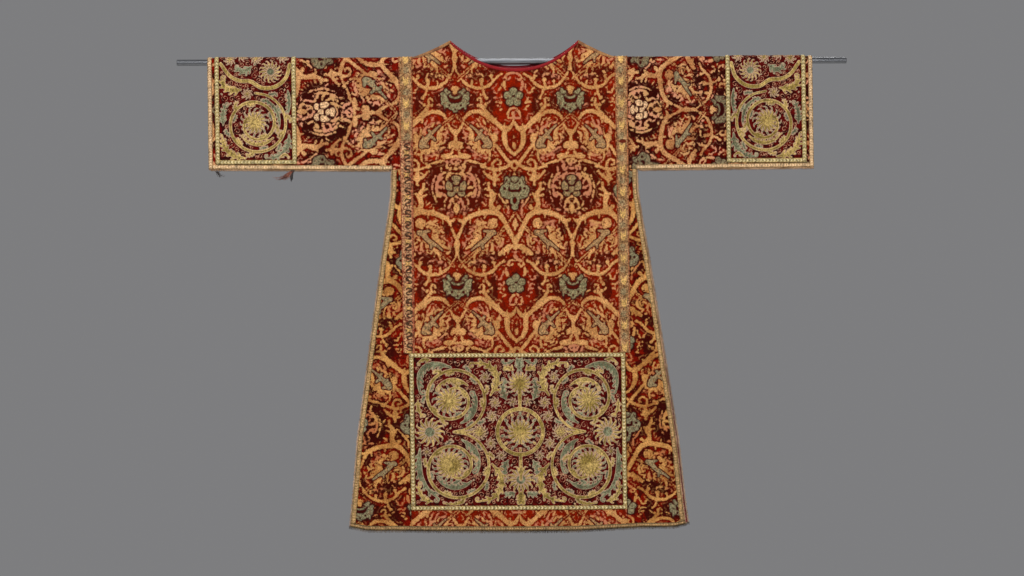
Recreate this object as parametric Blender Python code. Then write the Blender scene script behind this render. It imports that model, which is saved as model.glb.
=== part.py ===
"""Dalmatic of figured velvet, hung flat on a round display rod that passes through both sleeves.

Metres, +Z up, the front faces -Y. The origin is the middle of the rod's axis.

Every cloth piece is a thin wall on one shared surface. A point of it has x along the rod, a path length s
and a side (-1 front, +1 back). Below the rod s is the height z, at or under 0, and the wall hangs. Above
it s runs up round the rod, and at the shoulders on along a straight line to the seam that stands over it.
"""
import math

import bpy
from mathutils import Vector

# ---- driving sizes ----
CLOTH = 0.0028              # lined velvet, wall thickness
APPLIED = 0.0012            # embroidered bands and edge braid laid on the velvet
BRAID = 0.0010              # narrow braid laid on the embroidery, and the neck binding
GAP = 0.0003                # seams and layers are this far apart
ROD_RADIUS = 0.007
ROD_HALF = 0.755
ROD_SIDES = 24
ROD_CLEARANCE = 0.0005
WRAP = ROD_RADIUS + ROD_CLEARANCE + CLOTH / 2    # radius of the wall's middle round the rod

SEAM_X = 0.2428             # centre panel to gore and sleeve, on each side
UNDERARM_X = 0.2745
CUFF_X = 0.681
UNDERARM_DROP = 0.2440
CUFF_DROP = 0.2405
HEM_DROP = 1.056
NECK_X = 0.144              # the neck opening's corners
PEAK = 0.0465               # how far the corners stand above the rod's axis
NECK_DROP_FRONT = 0.017
NECK_DROP_BACK = 0.010
NECK_CURVE = 2.2            # exponent of the neckline
NECK_OPEN = 0.004           # how far each layer stands off the other at the middle of the neck
PEAK_OPEN = 0.0008
SHOULDER_END = 0.2275       # from here outwards the cloth lies round the rod

CLAVUS_TOP_HALF = 0.0150    # half widths of the upright bands
CLAVUS_LOW_HALF = 0.0125
CLAVUS_JOINT = 0.178        # the band is pieced at this height under the rod
APPAREL_TOP = 0.657
APPAREL_BOTTOM = 1.0095
APPAREL_BRAID = 0.0095
EDGE_BRAID = 0.0095
CUFF_APPAREL_IN = 0.484
CUFF_APPAREL_OUT = 0.665
CUFF_APPAREL_DROP = 0.2302
FOLD_OVER = 0.0065          # how far the neck binding and the shoulder braid reach down

FRINGE_ROOT = 0.0017        # the strip that carries the fringe
FRINGE_THICK = 0.0014
FRINGE_TIP = 0.0006
FRINGE_EDGE = 0.0045
FRINGE_HEM = 0.0068
FRINGE_PITCH = 0.030
LOCK_EDGE = 0.28            # a lock's tip starts and ends at this share of its root's width

SPREAD = 0.010              # how much further each layer stands off at the hem than at the rod
LEAN_FRONT = 0.010          # sideways set, for each metre down
LEAN_BACK = 0.018
SET_ENDS = -0.0045          # sideways set of the sleeve ends and of the middle
SET_MIDDLE = 0.0125
SET_SPAN = 0.35

# Seam over the shoulder: distance from the middle, height of the wall's middle at the seam.
SHOULDER_LINE = (
    (NECK_X, PEAK),
    (0.168, 0.0335),
    (0.197, 0.0200),
    (0.2200, 0.0105),
    (SHOULDER_END, WRAP),
)
# Open side edge: height, distance from the middle.
SIDE_EDGE = (
    (-1.056, 0.3755),
    (-0.850, 0.3565),
    (-0.600, 0.3210),
    (-0.440, 0.2980),
    (-0.360, 0.2850),
    (-0.300, 0.2760),
    (-0.244, UNDERARM_X),
)
# Hem: place along it, how far it is above the lowest line.
HEM_RISE = (
    (-0.380, 0.0115),
    (-0.340, 0.0035),
    (-0.200, 0.0010),
    (0.000, 0.0000),
    (0.120, 0.0005),
    (0.280, 0.0085),
    (0.355, 0.0095),
    (0.380, 0.0160),
)
HEM_RISE_FROM = 1.000       # the rise starts at this depth and is whole at the hem

# Folds of the gores: place at the top and at the hem, half width, depth at the hem (out is positive),
# height of the top.
FRONT_GORE_FOLDS = (
    (-0.268, -0.322, 0.050, 0.0085, -0.34),
    (0.268, 0.325, 0.052, 0.0075, -0.36),
)
BACK_GORE_FOLDS = (
    (-0.262, -0.312, 0.055, 0.0070, -0.32),
    (0.275, 0.332, 0.045, 0.0080, -0.34),
)
# Soft waves of the centre panels above the stiff apparel: place, half width, depth, top, bottom.
FRONT_WAVES = (
    (-0.165, 0.062, 0.0030, -0.10, -0.64),
    (-0.060, 0.058, -0.0025, -0.16, -0.62),
    (0.055, 0.070, 0.0030, -0.12, -0.64),
    (0.165, 0.055, -0.0025, -0.20, -0.63),
)
BACK_WAVES = (
    (-0.135, 0.070, -0.0025, -0.14, -0.63),
    (-0.010, 0.070, 0.0035, -0.10, -0.65),
    (0.120, 0.060, -0.0025, -0.18, -0.62),
    (0.190, 0.045, 0.0025, -0.24, -0.64),
)
# Sleeve folds, the same on both sides: place, half width, depth at the sleeve's lower edge.
SLEEVE_FOLDS = (
    (-0.365, 0.065, 0.0040),
    (0.355, 0.060, 0.0035),
)

# Applied vine of each apparel: centre and radius of its lower and upper spiral, on one half.
VINE_LOWER = ((0.146, -0.914), 0.080)
VINE_UPPER = ((0.149, -0.759), 0.075)
CUFF_VINE = ((0.5745, -0.140), 0.070)
VINE_EYE = 0.020            # radius at which a spiral ends
VINE_TURNS = 1.55
CUFF_VINE_TURNS = 1.9
VINE_STEPS = 15             # stations in a turn
VINE_WIDTH = 0.0050
LEAF_WIDTH = 0.0045         # the vine swells by this where it bears leaves
LEAVES_PER_TURN = 3
MEDALLION = (0.0, -0.834)
MEDALLION_RADIUS = 0.051
MEDALLION_WIDTH = 0.008
MEDALLION_STEPS = 24
ROSETTE_RADIUS = 0.028
ROSETTE_PETALS = 8
ROSETTE_SCALLOP = 0.16      # share of the radius by which the petals stand out
ROSETTE_STEPS = 32

# ---- lines that the pieces share ----
NECK_COLUMNS = (0.0, 0.030, 0.058, 0.084, 0.108, 0.127, NECK_X)
SHOULDER_COLUMNS = (0.168, 0.197)
SLEEVE_SPAN_COLUMNS = (0.345, 0.415)
CUFF_APPAREL_COLUMN = 0.575
UPPER_LEVELS = (-0.090, -CLAVUS_JOINT)
BODY_LEVELS = (-0.300, -0.370, -0.450, -0.550)
APPAREL_LEVELS = (-0.750, -0.840, -0.920)

BACK, FRONT = 1, -1
SIDE_NAMES = {FRONT: "front", BACK: "back"}
HAND_NAMES = {-1: "left", 1: "right"}

# Piece: base colour, roughness, metallic.
FINISHES = {
    "velvet": ((0.32, 0.08, 0.03), 0.85, 0.0),
    "embroidery": ((0.36, 0.24, 0.08), 0.75, 0.0),
    "braid": ((0.58, 0.46, 0.22), 0.55, 0.2),
    "fringe": ((0.45, 0.30, 0.15), 0.80, 0.0),
    "silk": ((0.38, 0.03, 0.04), 0.60, 0.0),
    "applied": ((0.46, 0.42, 0.24), 0.65, 0.0),
    "steel": ((0.55, 0.56, 0.57), 0.30, 1.0),
}


def between(table, value):
    """Straight-line reading of a two-column table with rising first column."""
    if value <= table[0][0]:
        return table[0][1]
    for (x0, y0), (x1, y1) in zip(table, table[1:]):
        if value <= x1:
            return y0 + (y1 - y0) * (value - x0) / (x1 - x0)
    return table[-1][1]


def smooth(t):
    """0 to 1 with flat ends."""
    t = min(max(t, 0.0), 1.0)
    return t * t * (3.0 - 2.0 * t)


def bump(offset, half_width):
    """A soft ridge, 1 at its middle and 0 at its half width."""
    if abs(offset) >= half_width:
        return 0.0
    return math.cos(0.5 * math.pi * offset / half_width) ** 2


# ---- the shared surface ----
def depth(x, z, side):
    """How far the hanging wall's middle is from the plane through the rod."""
    stand = WRAP + SPREAD * -z / HEM_DROP
    for top, low, half_width, deep, start in (FRONT_GORE_FOLDS if side == FRONT else BACK_GORE_FOLDS):
        down = min(max((start - z) / (start + HEM_DROP), 0.0), 1.0)
        stand += deep * smooth(down) * bump(x - top - (low - top) * down, half_width)
    for place, half_width, deep, start, end in (FRONT_WAVES if side == FRONT else BACK_WAVES):
        if end < z < start:
            swell = math.sin(math.pi * (start - z) / (start - end)) ** 2
            stand += deep * swell * bump(x - place, half_width)
    if z > -UNDERARM_DROP - GAP:
        for place, half_width, deep in SLEEVE_FOLDS:
            stand += deep * smooth(-z / UNDERARM_DROP) * bump(x - place, half_width)
    return stand


def seam_height(x):
    """Height of the wall's middle at the shoulder seam, or of the line that the open neck follows."""
    return between(SHOULDER_LINE, max(abs(x), NECK_X))


def seam_stand(x):
    """How far the wall's inner corner is from the plane through the rod at its top."""
    out = abs(x)
    if out < NECK_X:
        return GAP / 2 + PEAK_OPEN + NECK_OPEN * (1.0 - (out / NECK_X) ** 2)
    return GAP / 2 + PEAK_OPEN * (1.0 - smooth((out - NECK_X) / (SHOULDER_COLUMNS[-1] - NECK_X)))


def tilt(x):
    """Angle round the rod at which the wall leaves it for the shoulder seam."""
    if abs(x) >= SHOULDER_END:
        return math.pi / 2
    low, high = 0.0, math.pi / 2
    for _ in range(40):
        angle = 0.5 * (low + high)
        stand = seam_stand(x) + 0.5 * CLOTH * math.cos(angle)
        reach = math.cos(angle) * stand + seam_height(x) * math.sin(angle)
        if reach < WRAP:
            low = angle
        else:
            high = angle
    return 0.5 * (low + high)


def spot(x, s, side, off):
    """World point at path length s, moved out from the wall's middle by off."""
    if s <= 0.0:
        y, z = side * (depth(x, s, side) + off), s
        level = s
    else:
        level = 0.0
        angle = min(s / WRAP, tilt(x))
        along = s - WRAP * angle
        radius = WRAP + off
        y = side * (radius * math.cos(angle) - along * math.sin(angle))
        z = radius * math.sin(angle) + along * math.cos(angle)
    lean = LEAN_FRONT if side == FRONT else LEAN_BACK
    shift = SET_ENDS + SET_MIDDLE * math.exp(-(x / SET_SPAN) ** 2) - lean * level
    lift = between(HEM_RISE, x) * min(max((-level - HEM_RISE_FROM) / (HEM_DROP - HEM_RISE_FROM), 0.0), 1.0)
    return Vector((x + shift, y, z + lift))


def path_length(x, height):
    """Path length of the wall's middle at a height above the rod's axis."""
    angle = tilt(x)
    if height <= 0.0:
        return height
    if height <= WRAP * math.sin(angle):
        return WRAP * math.asin(height / WRAP)
    return WRAP * angle + (height - WRAP * math.sin(angle)) / math.cos(angle)


def top_length(x, side):
    """Path length of the wall's upper edge: neckline, shoulder seam or the top of the rod."""
    out = abs(x)
    if out >= SHOULDER_END:
        return WRAP * math.pi / 2
    if out >= NECK_X:
        return path_length(x, seam_height(x))
    drop = NECK_DROP_FRONT if side == FRONT else NECK_DROP_BACK
    return path_length(x, -drop + (PEAK + drop) * (out / NECK_X) ** NECK_CURVE)


def top_rows(x, side):
    """Path lengths from the upper edge down to the level of the rod."""
    top = top_length(x, side)
    folded = top - FOLD_OVER
    if folded > 0.002:
        below = (min(folded / 2, WRAP * tilt(x)), 0.0)
    else:
        below = (folded - 0.002, folded - 0.004)
    return (top, top - FOLD_OVER / 2, folded) + below


# ---- columns: each gives x at a level ----
def clavus_in(level):
    if level < -APPAREL_TOP - GAP:
        return SEAM_X - APPAREL_BRAID
    share = min(max(-level / APPAREL_TOP, 0.0), 1.0)
    return SEAM_X - CLAVUS_TOP_HALF + (CLAVUS_TOP_HALF - CLAVUS_LOW_HALF) * share


def clavus_out(level):
    share = min(max(-level / APPAREL_TOP, 0.0), 1.0)
    return SEAM_X + CLAVUS_TOP_HALF + (CLAVUS_LOW_HALF - CLAVUS_TOP_HALF) * share


def side_edge(level):
    return between(SIDE_EDGE, level)


def side_braid(level):
    return side_edge(level) - EDGE_BRAID


def fixed(x):
    return lambda level: x


def share_of_gore(share):
    return lambda level: clavus_out(level) + share * (side_braid(level) - clavus_out(level))


def mirrored(columns):
    """The same columns on the other side of the middle, in rising order."""
    return [lambda level, column=column: -column(level) for column in reversed(columns)]


PANEL_HALF = [fixed(x) for x in NECK_COLUMNS + SHOULDER_COLUMNS] + [clavus_in, fixed(SEAM_X)]
PANEL_COLUMNS = mirrored(PANEL_HALF[1:]) + PANEL_HALF
GORE_COLUMNS = [fixed(SEAM_X + GAP), clavus_out, share_of_gore(0.33), share_of_gore(0.67)]
GORE_COLUMNS += [side_braid, side_edge]
CLAVUS_COLUMNS = [clavus_in, fixed(SEAM_X), fixed(SEAM_X + GAP), clavus_out]
SLEEVE_COLUMNS = [fixed(SEAM_X + GAP), clavus_out, fixed(UNDERARM_X)]
SLEEVE_COLUMNS += [fixed(x) for x in SLEEVE_SPAN_COLUMNS]
SLEEVE_COLUMNS += [fixed(CUFF_APPAREL_IN), fixed(CUFF_APPAREL_IN + APPAREL_BRAID), fixed(CUFF_APPAREL_COLUMN)]
SLEEVE_COLUMNS += [fixed(CUFF_APPAREL_OUT - APPAREL_BRAID), fixed(CUFF_APPAREL_OUT)]
SLEEVE_COLUMNS += [fixed(CUFF_X - EDGE_BRAID), fixed(CUFF_X)]

APPAREL_ROWS = (-APPAREL_TOP, -APPAREL_TOP - APPAREL_BRAID) + APPAREL_LEVELS
APPAREL_ROWS += (-APPAREL_BOTTOM + APPAREL_BRAID, -APPAREL_BOTTOM)
LOWER_ROWS = BODY_LEVELS + APPAREL_ROWS + (-HEM_DROP + EDGE_BRAID, -HEM_DROP)


def sleeve_edge(x):
    share = max(abs(x) - UNDERARM_X, 0.0) / (CUFF_X - UNDERARM_X)
    return -UNDERARM_DROP + (UNDERARM_DROP - CUFF_DROP) * share


# ---- grids of (x, s, side) ----
def hanging_grid(columns, levels, side):
    return [[(column(level), level, side) for column in columns] for level in levels]


def topped_grid(columns, levels, side):
    """A hanging grid with the rows up to the upper edge on top of it."""
    tops = [[(column(0.0), s, side) for s in top_rows(column(0.0), side)] for column in columns]
    return [list(row) for row in zip(*tops)] + hanging_grid(columns, levels, side)


def wrapped_grid(columns, hand, lower):
    """From the front's lower edge up over the rod and down the back. lower(x) lists the levels below 0."""
    columns = columns if hand > 0 else mirrored(columns)
    halves = []
    for side in (FRONT, BACK):
        half = []
        for column in columns:
            x = column(0.0)
            levels = top_rows(x, side) + lower(x)
            half.append([(column(min(s, 0.0)), s, side) for s in levels])
        halves.append([list(row) for row in zip(*half)])
    front, back = halves
    return front[::-1] + back[1:]


def part_of(grid, rows=None, columns=None):
    """The grid between two rows and two columns, both included."""
    rows = rows or (0, len(grid) - 1)
    columns = columns or (0, len(grid[0]) - 1)
    return [row[columns[0]:columns[1] + 1] for row in grid[rows[0]:rows[1] + 1]]


def border(grid, sides):
    """Cells along the named sides of a grid: bottom is its last row."""
    rows, columns = len(grid) - 1, len(grid[0]) - 1
    keep = set()
    for row in range(rows):
        for column in range(columns):
            at = {"top": row == 0, "bottom": row == rows - 1}
            at.update(left=column == 0, right=column == columns - 1)
            if any(at[side] for side in sides):
                keep.add((row, column))
    return keep


# ---- solids ----
def finish(name, points, faces, look):
    """One closed object, its faces turned out, with its own material."""
    volume = sum(points[a].dot(points[b].cross(points[c])) for a, b, c in faces)
    if volume < 0.0:
        faces = [(a, c, b) for a, b, c in faces]
    mesh = bpy.data.meshes.new(name)
    mesh.from_pydata([tuple(point) for point in points], [], faces)
    mesh.validate()
    item = bpy.data.objects.new(name, mesh)
    bpy.context.scene.collection.objects.link(item)
    colour, roughness, metallic = FINISHES[look]
    material = bpy.data.materials.new(name)
    material.use_nodes = True
    shader = material.node_tree.nodes["Principled BSDF"]
    shader.inputs["Base Color"].default_value = (*colour, 1.0)
    shader.inputs["Roughness"].default_value = roughness
    shader.inputs["Metallic"].default_value = metallic
    mesh.materials.append(material)
    return item


def slab(name, inner, outer, look, rising, keep=None):
    """A wall between two like grids of points, over all cells or the kept ones.

    Columns go with x. rising says, for each row of cells, whether the next row lies further up the path:
    with it every wall splits its cells along the same diagonal, so layers stay parallel.
    """
    rows, columns = len(inner), len(inner[0])
    if keep is None:
        keep = {(row, column) for row in range(rows - 1) for column in range(columns - 1)}
    used = {}
    points = []

    def index(layer, row, column):
        key = (layer, row, column)
        if key not in used:
            used[key] = len(points)
            points.append((inner, outer)[layer][row][column])
        return used[key]

    faces = []
    edges = {}
    for row, column in sorted(keep):
        corners = ((row, column), (row, column + 1), (row + 1, column + 1), (row + 1, column))
        if rising[row]:
            corners = corners[1:] + corners[:1]
        a, b, c, d = (index(1, *corner) for corner in corners)
        faces += [(a, b, c), (a, c, d)]
        a, b, c, d = (index(0, *corner) for corner in corners)
        faces += [(a, c, b), (a, d, c)]
        for start, end in zip(corners, corners[1:] + corners[:1]):
            if (end, start) in edges:
                del edges[(end, start)]
            else:
                edges[(start, end)] = True
    for start, end in edges:
        a, b = index(1, *start), index(1, *end)
        c, d = index(0, *end), index(0, *start)
        faces += [(b, a, d), (b, d, c)]
    return finish(name, points, faces, look)


def laid(name, grid, low, high, look, keep=None):
    """A wall on the shared surface between two offsets from its middle."""
    inner = [[spot(x, s, side, low) for x, s, side in row] for row in grid]
    outer = [[spot(x, s, side, high) for x, s, side in row] for row in grid]
    rising = [below[0][1] > above[0][1] for above, below in zip(grid, grid[1:])]
    return slab(name, inner, outer, look, rising, keep)


ON_CLOTH = (CLOTH / 2 + GAP, CLOTH / 2 + GAP + APPLIED)
ON_APPLIED = (ON_CLOTH[1] + GAP, ON_CLOTH[1] + GAP + BRAID)


def cloth(name, grid):
    laid(name, grid, -CLOTH / 2, CLOTH / 2, "velvet")


def make_body(side):
    """Centre panel, gores, apparel and its braid, and the braid of the side slits and hem."""
    word = SIDE_NAMES[side]
    upper = UPPER_LEVELS + (-UNDERARM_DROP,)
    cloth(f"{word}_panel", topped_grid(PANEL_COLUMNS, upper + LOWER_ROWS, side))
    gore_rows = (-UNDERARM_DROP - GAP,) + LOWER_ROWS
    for hand, columns in ((-1, mirrored(GORE_COLUMNS)), (1, GORE_COLUMNS)):
        cloth(f"{word}_gore_{HAND_NAMES[hand]}", hanging_grid(columns, gore_rows, side))
    apparel = hanging_grid(PANEL_COLUMNS, APPAREL_ROWS, side)
    laid(f"{word}_apparel", apparel, *ON_CLOTH, "embroidery")
    frame = border(apparel, ("top", "bottom", "left", "right"))
    laid(f"{word}_apparel_braid", apparel, *ON_APPLIED, "braid", frame)
    whole = hanging_grid(mirrored(GORE_COLUMNS) + PANEL_COLUMNS + GORE_COLUMNS, gore_rows, side)
    laid(f"{word}_edge_braid", whole, *ON_CLOTH, "braid", border(whole, ("left", "right", "bottom")))


def make_sleeve(hand):
    """Sleeve, cuff apparel with its braid, and the braid of the cuff and the lower edges."""
    word = HAND_NAMES[hand]

    def lower(x):
        edge = sleeve_edge(x)
        apparel = (-CUFF_APPAREL_DROP + APPAREL_BRAID, -CUFF_APPAREL_DROP)
        return UPPER_LEVELS + apparel + (edge + EDGE_BRAID, edge)

    grid = wrapped_grid(SLEEVE_COLUMNS, hand, lower)
    cloth(f"sleeve_{word}", grid)
    last_row, last_column = len(grid) - 1, len(grid[0]) - 1
    first = 3 + len(SLEEVE_SPAN_COLUMNS)
    span = (first, first + 4) if hand > 0 else (last_column - first - 4, last_column - first)
    apparel = part_of(grid, rows=(2, last_row - 2), columns=span)
    laid(f"cuff_apparel_{word}", apparel, *ON_CLOTH, "embroidery")
    frame = border(apparel, ("top", "bottom", "left", "right"))
    laid(f"cuff_apparel_braid_{word}", apparel, *ON_APPLIED, "braid", frame)
    free = (2, last_column) if hand > 0 else (0, last_column - 2)
    edge = part_of(grid, columns=free)
    sides = ("top", "bottom", "right" if hand > 0 else "left")
    laid(f"cuff_edge_braid_{word}", edge, *ON_CLOTH, "braid", border(edge, sides))


def make_clavi(hand):
    """The upright bands: one length over the shoulder, one below it on each side."""
    word = HAND_NAMES[hand]
    upper = wrapped_grid(CLAVUS_COLUMNS, hand, lambda x: UPPER_LEVELS)
    laid(f"clavus_upper_{word}", upper, *ON_CLOTH, "embroidery")
    columns = CLAVUS_COLUMNS if hand > 0 else mirrored(CLAVUS_COLUMNS)
    levels = (-CLAVUS_JOINT - GAP, -UNDERARM_DROP) + BODY_LEVELS + (-APPAREL_TOP + GAP,)
    for side in (FRONT, BACK):
        lower = hanging_grid(columns, levels, side)
        laid(f"clavus_{SIDE_NAMES[side]}_{word}", lower, *ON_CLOTH, "embroidery")


def make_neck_binding(side):
    """A strip folded over the neckline, on the outside and over the cloth's edge."""
    columns = mirrored(PANEL_HALF[1:len(NECK_COLUMNS)]) + PANEL_HALF[:len(NECK_COLUMNS)]
    low, high = CLOTH / 2 + GAP, CLOTH / 2 + GAP + BRAID
    inner = [[] for _ in range(4)]
    outer = [[] for _ in range(4)]
    for column in columns:
        x = column(0.0)
        top, middle, folded = top_rows(x, side)[:3]
        for layer, off, cap in ((inner, low, top + GAP), (outer, high, top + GAP + BRAID)):
            for row, s in enumerate((folded, middle, cap)):
                layer[row].append(spot(x, s, side, off))
            layer[3].append(spot(x, cap, side, -CLOTH / 2))
    slab(f"neck_binding_{SIDE_NAMES[side]}", inner, outer, "silk", [True] * 3)


def make_shoulder_braid(hand):
    """Narrow braid folded over the shoulder seam, from the neck's corner to the upright band."""
    low, high = CLOTH / 2 + GAP, CLOTH / 2 + GAP + BRAID
    stations = (NECK_X + GAP,) + SHOULDER_COLUMNS + (clavus_in(0.0) - 2 * GAP,)
    inner = [[] for _ in range(6)]
    outer = [[] for _ in range(6)]
    for x in sorted(hand * station for station in stations):
        angle = tilt(x)
        for layer, off, rise in ((inner, low, GAP), (outer, high, GAP + BRAID)):
            above = (rise + (0.5 * CLOTH - off) * math.sin(angle)) / max(math.cos(angle), 0.05)
            top, middle, folded = top_rows(x, FRONT)[:3]
            for row, s in enumerate((folded, middle, top + above)):
                layer[row].append(spot(x, s, FRONT, off))
                layer[5 - row].append(spot(x, s, BACK, off))
    rising = [True, True, True, False, False]
    slab(f"shoulder_braid_{HAND_NAMES[hand]}", inner, outer, "braid", rising)


def edge_lines(side):
    """The cloth's free lower edges, each as a name, its middle points and its fringe's length."""
    lines = []
    for hand in (-1, 1):
        sleeve = [UNDERARM_X + FRINGE_EDGE + FRINGE_ROOT] + [column(0.0) for column in SLEEVE_COLUMNS[3:]]
        under = [spot(hand * x, sleeve_edge(x), side, 0.0) for x in sleeve]
        lines.append((f"sleeve_{HAND_NAMES[hand]}", under, FRINGE_EDGE))
        levels = (-UNDERARM_DROP - 3 * GAP,) + LOWER_ROWS
        slit = [spot(hand * side_edge(level), level, side, 0.0) for level in levels]
        lines.append((f"side_{HAND_NAMES[hand]}", slit, FRINGE_EDGE))
    columns = mirrored(GORE_COLUMNS) + PANEL_COLUMNS + GORE_COLUMNS
    hem = [spot(column(-HEM_DROP), -HEM_DROP, side, 0.0) for column in columns]
    corner = Vector((FRINGE_EDGE, 0.0, 0.0))
    lines.append(("hem", [hem[0] - corner] + hem + [hem[-1] + corner], FRINGE_HEM))
    return lines


def spaced(line):
    """The same line with points a fringe lock apart."""
    points = [line[0]]
    for start, end in zip(line, line[1:]):
        count = max(round((end - start).length / FRINGE_PITCH), 1)
        points += [start.lerp(end, step / count) for step in range(1, count + 1)]
    return points


def make_fringe(name, line, length):
    """Locks that taper from a narrow strip just outside the cloth's edge."""
    line = spaced(line)
    outs = []
    for start, end in zip(line, line[1:]):
        run = end - start
        out = Vector((run.z, 0.0, -run.x)).normalized()
        away = out.x * line[0].x if abs(run.z) > abs(run.x) else -out.z
        outs.append(out if away > 0.0 else -out)
    mean = [outs[0]] + [(a + b).normalized() for a, b in zip(outs, outs[1:])] + [outs[-1]]
    thick = Vector((0.0, FRINGE_THICK / 2, 0.0))
    thin = Vector((0.0, FRINGE_TIP / 2, 0.0))
    points = []
    for point, out in zip(line, mean):
        root = point + out * GAP
        low = point + out * (GAP + FRINGE_ROOT)
        points += [root - thick, low - thick, low + thick, root + thick]
    faces = []
    for index in range(len(line) - 1):
        a, b = 4 * index, 4 * index + 4
        for first, second in ((0, 1), (2, 3), (3, 0)):
            faces += [(a + first, b + first, b + second), (a + first, b + second, a + second)]
        roots = (a + 1, b + 1, b + 2, a + 2)
        if (line[index + 1] - line[index]).length < FRINGE_PITCH / 3:
            faces += [(roots[0], roots[1], roots[2]), (roots[0], roots[2], roots[3])]
            continue
        tip = len(points)
        far = 1.0 - LOCK_EDGE
        for share, half in ((LOCK_EDGE, -thin), (far, -thin), (far, thin), (LOCK_EDGE, thin)):
            foot = line[index].lerp(line[index + 1], share)
            points.append(foot + outs[index] * length + half)
        for first in range(4):
            second = (first + 1) % 4
            faces += [(roots[first], roots[second], tip + second), (roots[first], tip + second, tip + first)]
        faces += [(tip, tip + 1, tip + 2), (tip, tip + 2, tip + 3)]
    last = 4 * (len(line) - 1)
    faces += [(0, 1, 2), (0, 2, 3), (last, last + 2, last + 1), (last, last + 3, last + 2)]
    finish(name, points, faces, "fringe")


def spiral(centre, radius, start, turns, hand):
    """Points from the rim at the start angle inwards to the eye; hand is 1 anticlockwise, -1 clockwise."""
    points = []
    steps = round(turns * VINE_STEPS)
    for step in range(steps + 1):
        share = step / steps
        reach = radius - (radius - VINE_EYE) * share ** 1.4
        angle = start + hand * 2.0 * math.pi * turns * share
        points.append((centre[0] + reach * math.cos(angle), centre[1] + reach * math.sin(angle)))
    return points


def ribbon(name, path, side, swell):
    """A flat band along a path of (x, z) on the apparel; swell is its extra half width at each station."""
    edges = [[], []]
    for index, (x, z) in enumerate(path):
        before, after = path[max(index - 1, 0)], path[min(index + 1, len(path) - 1)]
        run = math.hypot(after[0] - before[0], after[1] - before[1])
        across = ((before[1] - after[1]) / run, (after[0] - before[0]) / run)
        half = 0.5 * VINE_WIDTH + swell(index)
        for row, sign in ((0, -1.0), (1, 1.0)):
            edges[row].append((x + sign * half * across[0], z + sign * half * across[1]))
    layers = [[[spot(x, z, side, off) for x, z in row] for row in edges] for off in ON_APPLIED]
    slab(name, *layers, "applied", [False])


def leafy(index):
    """Extra half width of a vine, with a pointed swelling for each leaf."""
    phase = (index * LEAVES_PER_TURN / VINE_STEPS) % 1.0
    return 0.5 * LEAF_WIDTH * phase


def make_apparel_vines(side):
    """Two mirrored S-shaped vines, a medallion ring and a rosette on the front or back apparel."""
    (lower, low_radius), (upper, up_radius) = VINE_LOWER, VINE_UPPER
    meet = math.atan2(upper[1] - lower[1], upper[0] - lower[0])
    below = spiral(lower, low_radius, meet, VINE_TURNS, 1)
    above = spiral(upper, up_radius, meet + math.pi, VINE_TURNS, -1)
    path = below[::-1] + above[1:]
    word = SIDE_NAMES[side]
    for hand in (-1, 1):
        ribbon(f"{word}_vine_{HAND_NAMES[hand]}", [(hand * x, z) for x, z in path], side, leafy)
    ring = []
    slit = GAP / MEDALLION_RADIUS
    for step in range(MEDALLION_STEPS + 1):
        angle = -0.5 * math.pi + slit + (2.0 * math.pi - 2.0 * slit) * step / MEDALLION_STEPS
        place = (MEDALLION_RADIUS * math.cos(angle), MEDALLION_RADIUS * math.sin(angle))
        ring.append((MEDALLION[0] + place[0], MEDALLION[1] + place[1]))
    ribbon(f"{word}_medallion", ring, side, lambda index: 0.5 * (MEDALLION_WIDTH - VINE_WIDTH))
    make_rosette(f"{word}_rosette", side)


def make_rosette(name, side):
    """A scalloped disc in the middle of the medallion."""
    points = []
    for off in ON_APPLIED:
        points.append(spot(*MEDALLION, side, off))
        for step in range(ROSETTE_STEPS):
            angle = 2.0 * math.pi * step / ROSETTE_STEPS
            reach = ROSETTE_RADIUS * (1.0 + ROSETTE_SCALLOP * math.cos(ROSETTE_PETALS * angle))
            x, z = MEDALLION[0] + reach * math.cos(angle), MEDALLION[1] + reach * math.sin(angle)
            points.append(spot(x, z, side, off))
    faces = []
    upper = ROSETTE_STEPS + 1
    for step in range(ROSETTE_STEPS):
        here, after = 1 + step, 1 + (step + 1) % ROSETTE_STEPS
        faces += [(0, after, here), (upper, upper + here, upper + after)]
        faces += [(here, after, upper + after), (here, upper + after, upper + here)]
    finish(name, points, faces, "applied")


def make_cuff_vines(hand):
    """One spiral vine on the front and one on the back of a cuff apparel."""
    (x, z), radius = CUFF_VINE
    path = spiral((x, z), radius, 0.5 * math.pi, CUFF_VINE_TURNS, 1)
    for side in (FRONT, BACK):
        name = f"cuff_vine_{SIDE_NAMES[side]}_{HAND_NAMES[hand]}"
        ribbon(name, [(hand * px, pz) for px, pz in path], side, leafy)


def make_rod():
    """Plain round bar through both sleeves."""
    rings = []
    points = []
    for x in (-ROD_HALF, ROD_HALF):
        ring = []
        for step in range(ROD_SIDES):
            angle = 2.0 * math.pi * step / ROD_SIDES
            ring.append(len(points))
            points.append(Vector((x, ROD_RADIUS * math.cos(angle), ROD_RADIUS * math.sin(angle))))
        rings.append(ring)
    left, right = rings
    faces = []
    for step in range(ROD_SIDES):
        after = (step + 1) % ROD_SIDES
        faces += [(left[step], right[step], right[after]), (left[step], right[after], left[after])]
    for step in range(1, ROD_SIDES - 1):
        faces += [(left[0], left[step], left[step + 1]), (right[0], right[step + 1], right[step])]
    finish("rod", points, faces, "steel")


def main():
    for item in list(bpy.data.objects):
        bpy.data.objects.remove(item, do_unlink=True)
    make_rod()
    for side in (FRONT, BACK):
        make_body(side)
        make_apparel_vines(side)
        make_neck_binding(side)
        for place, line, length in edge_lines(side):
            make_fringe(f"fringe_{SIDE_NAMES[side]}_{place}", line, length)
    for hand in (-1, 1):
        make_sleeve(hand)
        make_cuff_vines(hand)
        make_clavi(hand)
        make_shoulder_braid(hand)


main()
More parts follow.
